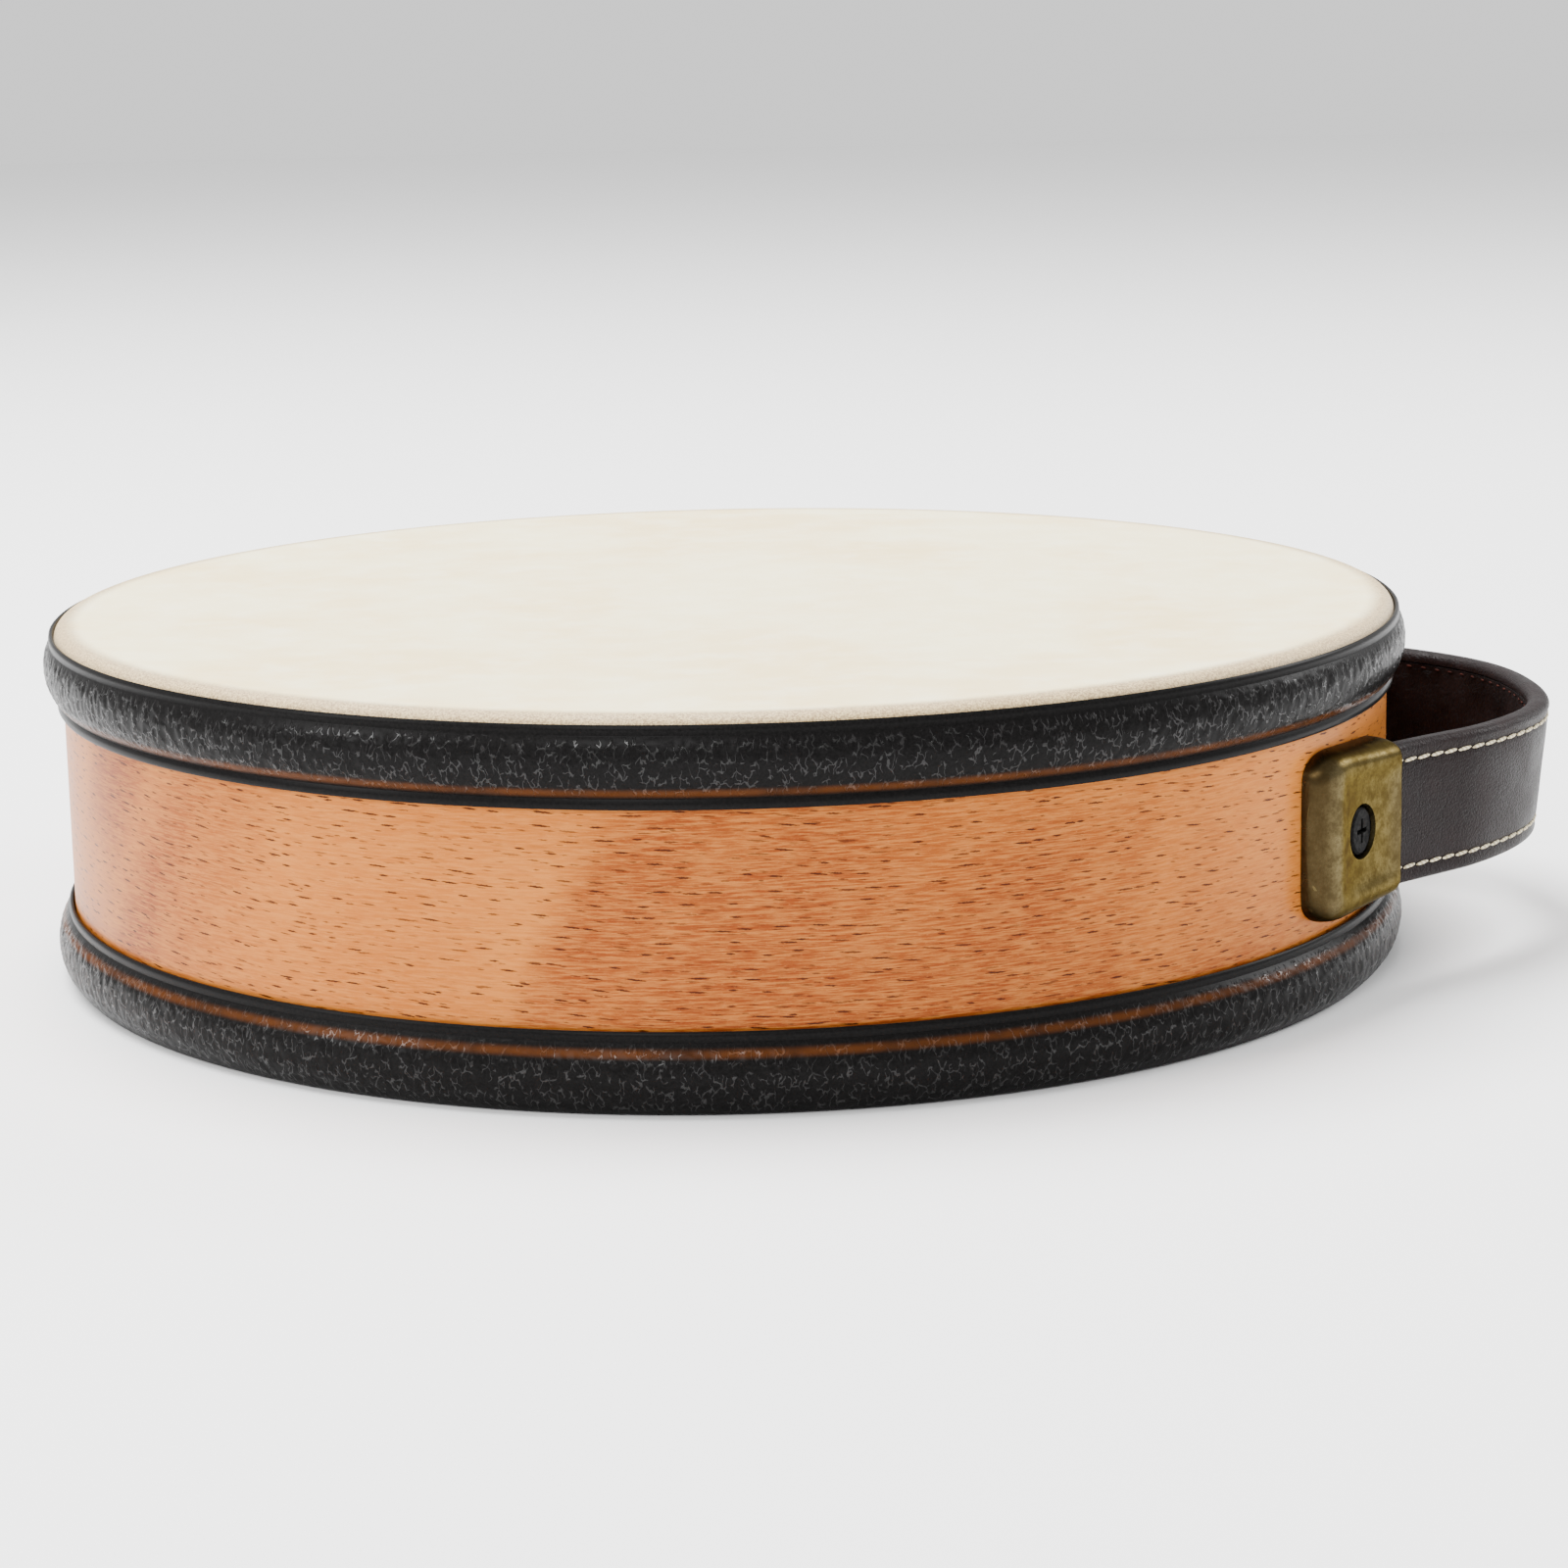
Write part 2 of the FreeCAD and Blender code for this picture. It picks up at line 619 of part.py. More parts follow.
def strap_layers():
    """The three layers along the whole strap: outer leather wrapped round a core, and a backing strip."""
    middle = value(HANDLE_HEIGHT)
    half = value(size("strap_thickness")) / 2
    wide = value(size("strap_width")) / 2
    leather = value(size("leather_thickness"))
    backing = value(size("backing_thickness"))
    inner = wide - leather
    whole = strip_solid(-half, half, middle - wide, middle + wide)
    hollow = strip_solid(-half, half - leather, middle - inner, middle + inner)
    core = strip_solid(-half + backing, half - leather, middle - inner, middle + inner)
    back = strip_solid(-half, -half + backing, middle - inner, middle + inner)
    return {
        "leather": hook_trim(whole.cut(hollow)),
        "core": hook_trim(core),
        "backing": back,
    }


def add_shape(label, shape):
    """A sub-part whose shape is worked out here."""
    feature = doc.addObject("Part::Feature", "Shape_" + label)
    feature.Label = label
    feature.Shape = shape
    feature.Placement = Placement(Vector(0, 0, 0), Rotation(Vector(0, 0, 1), 0))
    parts.append(feature)


def screw_hole(solid):
    """The backing strip with its two screw holes."""
    angle = math.radians(value(BRACKET_ANGLE))
    for way in (1, -1):
        out = Vector(math.cos(angle), -way * math.sin(angle), 0)
        start = Vector(0, 0, value(HANDLE_HEIGHT))
        radius = value(size("screw_radius")) + value(size("hole_gap"))
        solid = solid.cut(Part.makeCylinder(radius, value(FACE) + BEYOND, start, out))
    return solid


def make_strap():
    """Each layer as a loop that moves and two tails that the brackets hold, parted along a round line."""
    nose = value(f"{size('strap_width')} / 2 + {size('flex_clearance')}")
    tail_side = flex_cutter(nose)
    drum_side = flex_cutter(nose + value(size("flex_clearance")))
    for name, layer in strap_layers().items():
        if name == "backing":
            layer = screw_hole(layer)
        add_shape(f"handle_{name}", layer.cut(drum_side))
        tails = layer.common(tail_side)
        add_shape(f"front_tail_{name}", tails.common(half_space(-1)))
        add_shape(f"rear_tail_{name}", tails.common(half_space(1)))


def make_stitching():
    """Two rows of separate stitches along the outer face of the loop."""
    clear_of_strap = value(size("strap_thickness")) / 2 + value(size("seat_gap"))
    edges = [edge.toShape() for edge in side_line(clear_of_strap)]
    path = Part.Wire(edges)
    pitch = value(size("stitch_pitch"))
    count = int(path.Length / pitch)
    places = path.discretize(Number=2 * count + 1)
    length = value(size("stitch_length"))
    width = value(size("stitch_width"))
    clear = flex_axis() + value(f"{size('strap_width')} / 2 + 2 * {size('flex_clearance')}")
    level = value(f"{size('strap_width')} / 2 - {size('stitch_inset')}")
    for name, side in (("upper", 1), ("lower", -1)):
        height = value(HANDLE_HEIGHT) + side * level
        stitches = []
        for index in range(1, 2 * count, 2):
            place = places[index]
            along = places[index + 1] - places[index - 1]
            if place.x - length < clear:
                continue
            stitch = Part.makeBox(length, width / 2, width, Vector(-length / 2, -width / 2, -width / 2))
            stitch.rotate(Vector(0, 0, 0), Vector(0, 0, 1), math.degrees(math.atan2(along.y, along.x)))
            stitch.translate(Vector(place.x, place.y, height))
            stitches.append(stitch)
        add_shape(f"{name}_stitching", Part.makeCompound(stitches))


def build():
    """Makes every sub-part."""
    make_shell()
    make_skin()
    make_upper_rim()
    make_lower_rim()
    for place, way in (("front", 1), ("rear", -1)):
        make_bracket(f"{place}_bracket", way)
        make_screw(f"{place}_screw", way)
        make_washer(f"{place}_washer", way)
        make_nut(f"{place}_nut", way)
    make_strap()
    make_stitching()


def write():
    """Checks the document, then writes each sub-part to its own file."""
    doc.recompute()
    for item in doc.Objects:
        if "Invalid" in item.State or "Error" in item.State:
            raise RuntimeError(f"{item.Label} failed: {item.State}")
    for part in parts:
        if part.Shape.isNull() or not part.Shape.isValid() or not part.Shape.Solids:
            raise RuntimeError(f"{part.Label} has no valid solid")
    os.makedirs("parts", exist_ok=True)
    for part in parts:
        part.Shape.exportStep(f"parts/{part.Label}.step")
        box = part.Shape.BoundBox
        print(f"{part.Label:22s} solids {len(part.Shape.Solids):3d} volume {part.Shape.Volume:10.1f}"
              f"  x {box.XMin:8.2f} {box.XMax:8.2f}  y {box.YMin:8.2f} {box.YMax:8.2f}"
              f"  z {box.ZMin:7.2f} {box.ZMax:7.2f}")


build()
write()
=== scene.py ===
import math

import bmesh
import bpy
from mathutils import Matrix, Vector


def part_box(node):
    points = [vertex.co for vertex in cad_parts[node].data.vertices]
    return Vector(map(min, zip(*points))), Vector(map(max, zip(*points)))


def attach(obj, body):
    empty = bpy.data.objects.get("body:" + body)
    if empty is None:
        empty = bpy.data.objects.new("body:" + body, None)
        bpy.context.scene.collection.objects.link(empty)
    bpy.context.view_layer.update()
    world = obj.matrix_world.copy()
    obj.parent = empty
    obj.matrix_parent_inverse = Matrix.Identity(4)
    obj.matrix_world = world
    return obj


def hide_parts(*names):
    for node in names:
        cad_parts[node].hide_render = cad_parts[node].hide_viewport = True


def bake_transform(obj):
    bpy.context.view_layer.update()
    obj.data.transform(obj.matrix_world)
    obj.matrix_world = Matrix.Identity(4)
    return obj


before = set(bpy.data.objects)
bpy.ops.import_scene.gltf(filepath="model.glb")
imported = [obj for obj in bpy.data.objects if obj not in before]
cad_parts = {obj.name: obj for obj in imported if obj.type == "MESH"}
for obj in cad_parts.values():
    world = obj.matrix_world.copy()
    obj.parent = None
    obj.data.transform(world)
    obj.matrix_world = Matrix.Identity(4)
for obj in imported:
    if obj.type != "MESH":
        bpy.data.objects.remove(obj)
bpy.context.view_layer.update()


# ------------------------------------------------------------------ shell
# The hoop is a strip of beech, steamed, bent round and glued, then sanded and lacquered glossy.
# It is turned here as one section with its edges just broken, the way the hoop is sanded.
MM = 0.001
shell_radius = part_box("shell")[1].x
shell_wall = 6 * MM
shell_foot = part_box("shell")[0].z
shell_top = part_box("shell")[1].z
broken_edge = 0.4 * MM
edge_steps = 3
hoop_steps = 360
weld_reach = 0.002 * MM


def deselect_all():
    """Nothing selected and no edit mode, as before any new piece is started."""
    if bpy.context.object and bpy.context.object.mode != "OBJECT":
        bpy.ops.object.mode_set(mode="OBJECT")
    bpy.ops.object.select_all(action="DESELECT")


def name_piece(name):
    """The piece in hand gets its name, and its mesh the same one."""
    piece = bpy.context.object
    piece.name = name
    piece.data.name = name
    return piece


def turned(name, points, steps, closed=True):
    """An outline of (radius, height) points as a turned ring, drawn out to each next point."""
    deselect_all()
    first = points[0]
    bpy.ops.mesh.primitive_circle_add(vertices=steps, radius=first[0], location=(0, 0, 0))
    piece = name_piece(name)
    bpy.ops.object.mode_set(mode="EDIT")
    bpy.ops.mesh.select_all(action="SELECT")
    bpy.ops.transform.translate(value=(0, 0, first[1]))
    for before, after in zip(points, points[1:] + (points[:1] if closed else [])):
        bpy.ops.mesh.extrude_region_move(TRANSFORM_OT_translate={"value": (0, 0, after[1] - before[1])})
        wider = after[0] / before[0]
        bpy.ops.transform.resize(value=(wider, wider, 1), center_override=(0, 0, after[1]))
    bpy.ops.mesh.select_all(action="SELECT")
    bpy.ops.mesh.remove_doubles(threshold=weld_reach)
    bpy.ops.mesh.normals_make_consistent(inside=False)
    bpy.ops.object.mode_set(mode="OBJECT")
    bpy.ops.object.shade_smooth_by_angle(angle=math.radians(40))
    return piece


def round_corner(centre, radius, start, end, count):
    """Points along an arc from one angle to another, in degrees."""
    points = []
    for index in range(count + 1):
        angle = math.radians(start + (end - start) * index / count)
        points.append((centre[0] + radius * math.cos(angle), centre[1] + radius * math.sin(angle)))
    return points


def rounded_box(low, high, radius, first_angle):
    """The outline of a box section with its corners rounded, from the corner at this angle on."""
    points = []
    for start in range(first_angle, first_angle + 360, 90):
        turn = start % 360
        centre = (high[0] - radius if turn in (0, 270) else low[0] + radius,
                  high[1] - radius if turn in (0, 90) else low[1] + radius)
        points += round_corner(centre, radius, turn, turn + 90, edge_steps)
    return points


hoop_section = rounded_box((shell_radius - shell_wall, shell_foot), (shell_radius, shell_top),
                           broken_edge, -90)
shell = turned("beech_shell", hoop_section, hoop_steps)


def add_node(tree, kind, settings=None, **sockets):
    """A shader node with its settings, and each named socket either set or linked."""
    node = tree.nodes.new(kind)
    for key, setting in (settings or {}).items():
        setattr(node, key, setting)
    for key, given in sockets.items():
        name = key.replace("_", " ")
        target = node.inputs[int(key[1:])] if key[0] == "i" and key[1:].isdigit() else node.inputs[name]
        if isinstance(given, bpy.types.NodeSocket):
            tree.links.new(given, target)
        else:
            target.default_value = given
    return node


def object_places(tree):
    """Places in the drum's own frame, in metres."""
    return add_node(tree, "ShaderNodeTexCoord").outputs["Object"]


def math_node(tree, operation, first, second=0.0, third=0.0, clamp=False):
    """One sum, and its result."""
    settings = {"operation": operation, "use_clamp": clamp}
    return add_node(tree, "ShaderNodeMath", settings, i0=first, i1=second, i2=third).outputs[0]


def times(tree, first, second):
    """Two numbers multiplied."""
    return math_node(tree, "MULTIPLY", first, second)


def mix_colours(tree, share, first, second):
    """Two colours mixed by a share."""
    settings = {"data_type": "RGBA"}
    return add_node(tree, "ShaderNodeMix", settings, i0=share, i6=first, i7=second).outputs[2]


def ramp(tree, share, low, high, to_low=0.0, to_high=1.0):
    """A number carried smoothly from one range to another."""
    settings = {"interpolation_type": "SMOOTHSTEP"}
    return add_node(tree, "ShaderNodeMapRange", settings, Value=share, From_Min=low, From_Max=high,
                    To_Min=to_low, To_Max=to_high).outputs[0]


def new_finish(name):
    """A material with its shader and output, ready for its own nodes."""
    material = bpy.data.materials.new(name)
    material.use_nodes = True
    tree = material.node_tree
    shader = tree.nodes["Principled BSDF"]
    return material, tree, shader


def feed(tree, shader, **results):
    """Each result drives the shader's socket of that name."""
    for key, result in results.items():
        tree.links.new(result, shader.inputs[key.replace("_", " ")])


def keep_even(shader, **values):
    """Each of these sockets has one value all over."""
    for key, value in values.items():
        shader.inputs[key.replace("_", " ")].default_value = value


def roughen(tree, shader, strength, depth, relief):
    """A relief too fine for the mesh, up to this depth, as the shader's normal."""
    bump = add_node(tree, "ShaderNodeBump", Strength=strength, Distance=depth, Height=relief)
    tree.links.new(bump.outputs[0], shader.inputs["Normal"])


def give_finish(piece, material):
    """The piece has this one material."""
    piece.data.materials.clear()
    piece.data.materials.append(material)


def new_group(name, inputs, outputs):
    """A shader node group with named sockets, and its two ends."""
    group = bpy.data.node_groups.new(name, "ShaderNodeTree")
    for label, kind, default in inputs:
        socket = group.interface.new_socket(name=label, in_out="INPUT", socket_type=kind)
        socket.default_value = default
    for label, kind in outputs:
        group.interface.new_socket(name=label, in_out="OUTPUT", socket_type=kind)
    start = group.nodes.new("NodeGroupInput")
    end = group.nodes.new("NodeGroupOutput")
    return group, start, end


# Places round the hoop: how far along it, how high and how deep, all in millimetres. The line where the
# count starts again is on the handle's side, where the strip's two ends are glued.
hoop_group, _, hoop_end = new_group("places_round_the_hoop", [], [("Place", "NodeSocketVector")])
where = object_places(hoop_group)
axes = add_node(hoop_group, "ShaderNodeSeparateXYZ", Vector=where)
away_x = times(hoop_group, axes.outputs[0], -1.0)
away_y = times(hoop_group, axes.outputs[1], -1.0)
bearing = math_node(hoop_group, "ARCTAN2", away_y, away_x)
along_hoop = times(hoop_group, bearing, shell_radius / MM)
height = times(hoop_group, axes.outputs[2], 1 / MM)
flat_x = math_node(hoop_group, "POWER", axes.outputs[0], 2.0)
flat_y = math_node(hoop_group, "POWER", axes.outputs[1], 2.0)
from_axis = math_node(hoop_group, "SQRT", math_node(hoop_group, "ADD", flat_x, flat_y))
depth = times(hoop_group, from_axis, 1 / MM)
place = add_node(hoop_group, "ShaderNodeCombineXYZ", X=along_hoop, Y=height, Z=depth)
hoop_group.links.new(place.outputs[0], hoop_end.inputs["Place"])


def hoop_places(tree):
    """The places round the hoop, in a material."""
    return add_node(tree, "ShaderNodeGroup", {"node_tree": hoop_group}).outputs["Place"]


def stretched(tree, places, scale, turn=(0, 0, 0), shift=(0, 0, 0)):
    """The places turned and scaled, for a pattern that is longer one way than the other."""
    return add_node(tree, "ShaderNodeMapping", Vector=places, Location=shift, Rotation=turn,
                    Scale=scale).outputs[0]


def noise(tree, places, size, detail=2.0, roughness=0.5, distortion=0.0):
    """Soft noise with lumps of about size."""
    return add_node(tree, "ShaderNodeTexNoise", Vector=places, Scale=1 / size, Detail=detail,
                    Roughness=roughness, Distortion=distortion).outputs["Fac"]


def ray_flecks(tree, places, spacing, longest, widest, shift):
    """Short dark dashes along the grain: the cut ends of the beech's rays, pointed and uneven in size."""
    wander = noise(tree, stretched(tree, places, (0.02, 0.02, 0.02)), 1.0)
    slope = math_node(tree, "MULTIPLY_ADD", wander, 5.0, -2.5)
    bend = add_node(tree, "ShaderNodeCombineXYZ", X=0.0, Y=slope, Z=0.0).outputs[0]
    bent = add_node(tree, "ShaderNodeVectorMath", {"operation": "ADD"}, i0=places, i1=bend).outputs[0]
    cells = stretched(tree, bent, (1 / spacing[0], 1 / spacing[1], 0.0), shift=shift)
    voronoi = add_node(tree, "ShaderNodeTexVoronoi", {"voronoi_dimensions": "2D"}, Vector=cells, Scale=1.0,
                       Randomness=1.0)
    chance = add_node(tree, "ShaderNodeSeparateColor", Color=voronoi.outputs["Color"])
    off = add_node(tree, "ShaderNodeVectorMath", {"operation": "SUBTRACT"}, i0=cells,
                   i1=voronoi.outputs["Position"]).outputs[0]
    off = add_node(tree, "ShaderNodeSeparateXYZ", Vector=off)
    length = math_node(tree, "MULTIPLY_ADD", chance.outputs[0], longest * 0.6, longest * 0.4)
    along = math_node(tree, "DIVIDE", times(tree, off.outputs[0], spacing[0] * 2), length)
    tilted = math_node(tree, "MULTIPLY_ADD", off.outputs[0], spacing[0] * 0.05,
                       times(tree, off.outputs[1], spacing[1]))
    frayed = noise(tree, stretched(tree, places, (2.2, 6.0, 1.0)), 1.0)
    tilted = math_node(tree, "ADD", tilted, math_node(tree, "MULTIPLY_ADD", frayed, 0.30, -0.15))
    across = math_node(tree, "DIVIDE", math_node(tree, "ABSOLUTE", tilted), widest / 2)
    lens = math_node(tree, "MULTIPLY_ADD", along, along, across)
    edge = ramp(tree, lens, 1.15, 0.55)
    strength = ramp(tree, chance.outputs[1], 0.1, 0.75, 0.15, 1.0)
    return times(tree, edge, strength)


pale_beech = (0.45, 0.142, 0.021, 1)
warm_beech = (0.37, 0.102, 0.012, 1)
red_stain = (0.195, 0.033, 0.003, 1)
bright_fibre = (0.56, 0.215, 0.045, 1)
painted_glint_colour = (0.66, 0.27, 0.075, 1)
fleck_brown = (0.036, 0.0060, 0.0012, 1)
stain_lean = math.radians(24)
grain_depth = 0.05 * MM

beech, tree, shader = new_finish("lacquered_beech")
places = hoop_places(tree)
leaning = stretched(tree, places, (1.0, 1.0, 0.0), turn=(0, 0, stain_lean))
broad = stretched(tree, leaning, (0.024, 0.009, 0.0), shift=(4.52, 0.64, 0))
stain = ramp(tree, noise(tree, broad, 1.0, detail=1.5, distortion=0.5), 0.46, 0.64)
blotches = stretched(tree, places, (0.012, 0.02, 0.0), shift=(1.7, 2.0, 0))
blush = ramp(tree, noise(tree, blotches, 1.0, detail=1.0), 0.35, 0.65)
fibres = noise(tree, stretched(tree, places, (0.22, 3.2, 0.4)), 1.0, detail=4.0, roughness=0.65)
painted_glint_noise = noise(tree, stretched(tree, places, (1.1, 3.8, 1.0)), 1.0, detail=2.0, roughness=0.8)
long_flecks = ray_flecks(tree, places, (5.0, 2.1), 4.4, 0.36, (0.3, 0.7, 0))
short_flecks = ray_flecks(tree, places, (3.7, 1.6), 2.8, 0.24, (4.3, 9.1, 0))
flecks = math_node(tree, "MAXIMUM", long_flecks, times(tree, short_flecks, 0.75))
wood = mix_colours(tree, blush, pale_beech, warm_beech)
wood = mix_colours(tree, times(tree, stain, 0.95), wood, red_stain)
wood = mix_colours(tree, ramp(tree, fibres, 0.36, 0.66, 0.0, 0.5), wood, bright_fibre)
# painted glints: small bright specks mixed into the wood's colour stand in for the lacquer catching the
# light
wood = mix_colours(tree, ramp(tree, painted_glint_noise, 0.55, 0.78, 0.0, 0.30), wood, painted_glint_colour)
wood = mix_colours(tree, times(tree, flecks, 0.95), wood, fleck_brown)
feed(tree, shader, Base_Color=wood, Roughness=ramp(tree, fibres, 0.2, 0.8, 0.30, 0.42))
keep_even(shader, Specular_IOR_Level=0.05, Coat_Weight=0.06, Coat_Roughness=0.14)
grain_height = math_node(tree, "SUBTRACT", times(tree, fibres, 0.35), flecks)
roughen(tree, shader, 0.18, grain_depth, grain_height)
give_finish(shell, beech)
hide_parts("shell")
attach(shell, "drum")


# ------------------------------------------------------------------ drum skin
# The head is natural goatskin, stretched wet over the hoop and glued down its outside. It dries with a
# rounded, slightly fuzzy edge, and its face is scraped smooth with cloudy patches.
skin_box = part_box("drum_skin")
skin_radius = skin_box[1].x
skin_top = skin_box[1].z
skin_hem = skin_box[0].z
skin_thickness = 1.15 * MM
skin_roll = 2.6 * MM
roll_steps = 12
pinhole = 0.001 * MM               # the head's two faces are drawn from this near the axis

skin_section = [(pinhole, skin_top)]
for share in (0.2, 0.4, 0.6, 0.75, 0.85, 0.92, 0.96):
    skin_section.append(((skin_radius - skin_roll) * share, skin_top))
skin_section += round_corner((skin_radius - skin_roll, skin_top - skin_roll), skin_roll, 90, 0, roll_steps)
skin_section += [
    (skin_radius, skin_hem),
    (skin_radius - skin_thickness, skin_hem),
    (skin_radius - skin_thickness, skin_top - skin_roll),
    (skin_radius - skin_roll, skin_top - skin_thickness),
    (pinhole, skin_top - skin_thickness),
]
skin = turned("goatskin_head", skin_section, hoop_steps, closed=False)

cream_skin = (0.94, 0.83, 0.49, 1)
tan_skin = (0.89, 0.72, 0.35, 1)
scraped_skin = (0.95, 0.89, 0.66, 1)
pore_brown = (0.66, 0.55, 0.33, 1)
fuzz_dark = (0.20, 0.11, 0.04, 1)
fuzz_light = (0.60, 0.44, 0.21, 1)
nap_depth = 0.12 * MM

goatskin, tree, shader = new_finish("scraped_goatskin")
where = object_places(tree)
radius_mm = add_node(tree, "ShaderNodeSeparateXYZ", Vector=hoop_places(tree)).outputs[2]
cloud = noise(tree, where, 42 * MM, detail=3.0, roughness=0.55)
patch = noise(tree, where, 11 * MM, detail=4.0, roughness=0.6)
pores = noise(tree, where, 0.9 * MM, detail=3.0, roughness=0.7)
nap = noise(tree, where, 0.35 * MM, detail=2.0, roughness=0.7)
edge_share = ramp(tree, radius_mm, (skin_radius - 5.5 * MM) / MM, (skin_radius - 1.8 * MM) / MM)
skin_colour = mix_colours(tree, ramp(tree, cloud, 0.35, 0.65), cream_skin, tan_skin)
skin_colour = mix_colours(tree, ramp(tree, patch, 0.4, 0.75, 0.0, 0.5), skin_colour, scraped_skin)
skin_colour = mix_colours(tree, ramp(tree, pores, 0.55, 0.8, 0.0, 0.16), skin_colour, pore_brown)
fuzz_colour = mix_colours(tree, ramp(tree, nap, 0.35, 0.65), fuzz_dark, fuzz_light)
skin_colour = mix_colours(tree, times(tree, edge_share, 0.9), skin_colour, fuzz_colour)
feed(tree, shader, Base_Color=skin_colour, Roughness=ramp(tree, patch, 0.3, 0.7, 0.55, 0.72))
nap_height = times(tree, nap, math_node(tree, "MULTIPLY_ADD", edge_share, 1.6, 0.15))
skin_height = math_node(tree, "ADD", nap_height, times(tree, pores, 0.35))
roughen(tree, shader, 0.35, nap_depth, skin_height)
keep_even(shader, Sheen_Weight=0.15, Sheen_Roughness=0.5)
give_finish(skin, goatskin)
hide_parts("drum_skin")
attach(skin, "drum")


# ------------------------------------------------------------------ rim bands
# Two bands moulded in black plastic with a crinkled hide pattern. Each has a smooth lip at both edges,
# and a brown line rubbed into the crinkle beside the lip that meets the wood.
rim_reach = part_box("lower_rim")[1].x
upper_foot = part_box("upper_rim")[0].z
upper_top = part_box("upper_rim")[1].z
lower_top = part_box("lower_rim")[1].z
seat_gap = 0.05 * MM
seat = shell_radius + seat_gap
skin_seat = skin_radius + seat_gap
shell_bore = shell_radius - shell_wall
rim_steps = 1440
face_count = 54
lip_reach = 0.7 * MM
crinkle_size = 1.5 * MM
crinkle_rise = 0.15 * MM
crinkle_stretch = 2.2


def bulge(low, high, reach, count):
    """The band's convex face between two (across, height) corners, standing out to reach at its middle."""
    chord = Vector(high) - Vector(low)
    middle = (Vector(low) + Vector(high)) / 2
    out = Vector((chord.y, -chord.x)).normalized()
    sag = reach - middle.x
    half = chord.length / 2
    radius = (half * half + sag * sag) / (2 * sag)
    centre = middle + out * (sag - radius)
    first = math.degrees(math.atan2(low[1] - centre.y, low[0] - centre.x))
    last = math.degrees(math.atan2(high[1] - centre.y, high[0] - centre.x))
    return round_corner((centre.x, centre.y), radius, first, last, count)


# The outline runs round the band, with the lip's few points at each end of its face. The face is a low
# dome with a groove at each end, where the rounded lip begins.
upper_face_low = (seat + 0.75 * MM, upper_foot + 1.9 * MM)
upper_face_high = (skin_seat + 0.85 * MM, upper_top - 1.7 * MM)
upper_section = [
    (seat, upper_foot + 1.4 * MM),
    (seat, upper_foot + 0.25 * MM),
    (seat + 0.25 * MM, upper_foot),
    (seat + 0.8 * MM, upper_foot + 0.1 * MM),
    (seat + 1.1 * MM, upper_foot + 0.6 * MM),
    (seat + 1.0 * MM, upper_foot + 1.3 * MM),
]
upper_section += bulge(upper_face_low, upper_face_high, rim_reach, face_count)
upper_section += [
    (skin_seat + 0.95 * MM, upper_top - 1.0 * MM),
    (skin_seat + 0.85 * MM, upper_top - 0.3 * MM),
    (skin_seat + 0.55 * MM, upper_top),
    (skin_seat + 0.2 * MM, upper_top - 0.15 * MM),
    (skin_seat, upper_top - 0.6 * MM),
    (skin_seat, upper_foot + 3.0 * MM),
]

lower_face_low = (shell_radius + 0.6 * MM, 0.35 * MM)
lower_face_high = (seat + 1.0 * MM, lower_top - 1.7 * MM)
lower_section = [
    (shell_bore, 1.5 * MM),
    (shell_bore, 0.3 * MM),
    (shell_bore + 0.3 * MM, 0.0),
    (shell_radius - 0.4 * MM, 0.0),
]
lower_section += bulge(lower_face_low, lower_face_high, rim_reach, face_count)
lower_section += [
    (seat + 1.15 * MM, lower_top - 1.0 * MM),
    (seat + 1.1 * MM, lower_top - 0.35 * MM),
    (seat + 0.8 * MM, lower_top),
    (seat + 0.4 * MM, lower_top - 0.05 * MM),
    (seat + 0.15 * MM, lower_top - 0.5 * MM),
    (seat, lower_top - 1.5 * MM),
    (seat, 1.5 * MM),
]

# the crinkle is read through a grid that is taller than wide, so that it runs mostly across the band
deselect_all()
bpy.ops.object.empty_add(type="PLAIN_AXES", location=(0, 0, 0))
tall_grid = bpy.context.object
tall_grid.scale = (1, 1, crinkle_stretch)
bpy.context.view_layer.update()


def crinkle(piece, low, high, smooth_low, smooth_high):
    """Raises the moulded crinkle on the band's face, fading out towards each smooth edge."""
    group = piece.vertex_groups.new(name="crinkled_face")
    for vertex in piece.data.vertices:
        out = math.hypot(vertex.co.x, vertex.co.y)
        if out < shell_radius + lip_reach:
            continue
        from_low = (vertex.co.z - low) / smooth_low
        from_high = (high - vertex.co.z) / smooth_high
        share = min(1.0, max(0.0, min(from_low, from_high)))
        if share > 0:
            group.add([vertex.index], share, "REPLACE")
    texture = bpy.data.textures.new(piece.name + "_crinkle", "MUSGRAVE")
    texture.musgrave_type = "RIDGED_MULTIFRACTAL"
    texture.noise_scale = crinkle_size
    texture.octaves = 2.0
    texture.dimension_max = 1.0
    texture.lacunarity = 2.2
    texture.offset = 1.0
    texture.gain = 1.6
    raised = piece.modifiers.new("crinkle", "DISPLACE")
    raised.texture = texture
    raised.texture_coords = "OBJECT"
    raised.texture_coords_object = tall_grid
    raised.strength = crinkle_rise
    raised.mid_level = 0.6
    raised.vertex_group = group.name
    bpy.context.view_layer.objects.active = piece
    bpy.ops.object.modifier_apply(modifier=raised.name)
    piece.vertex_groups.remove(piece.vertex_groups[0])


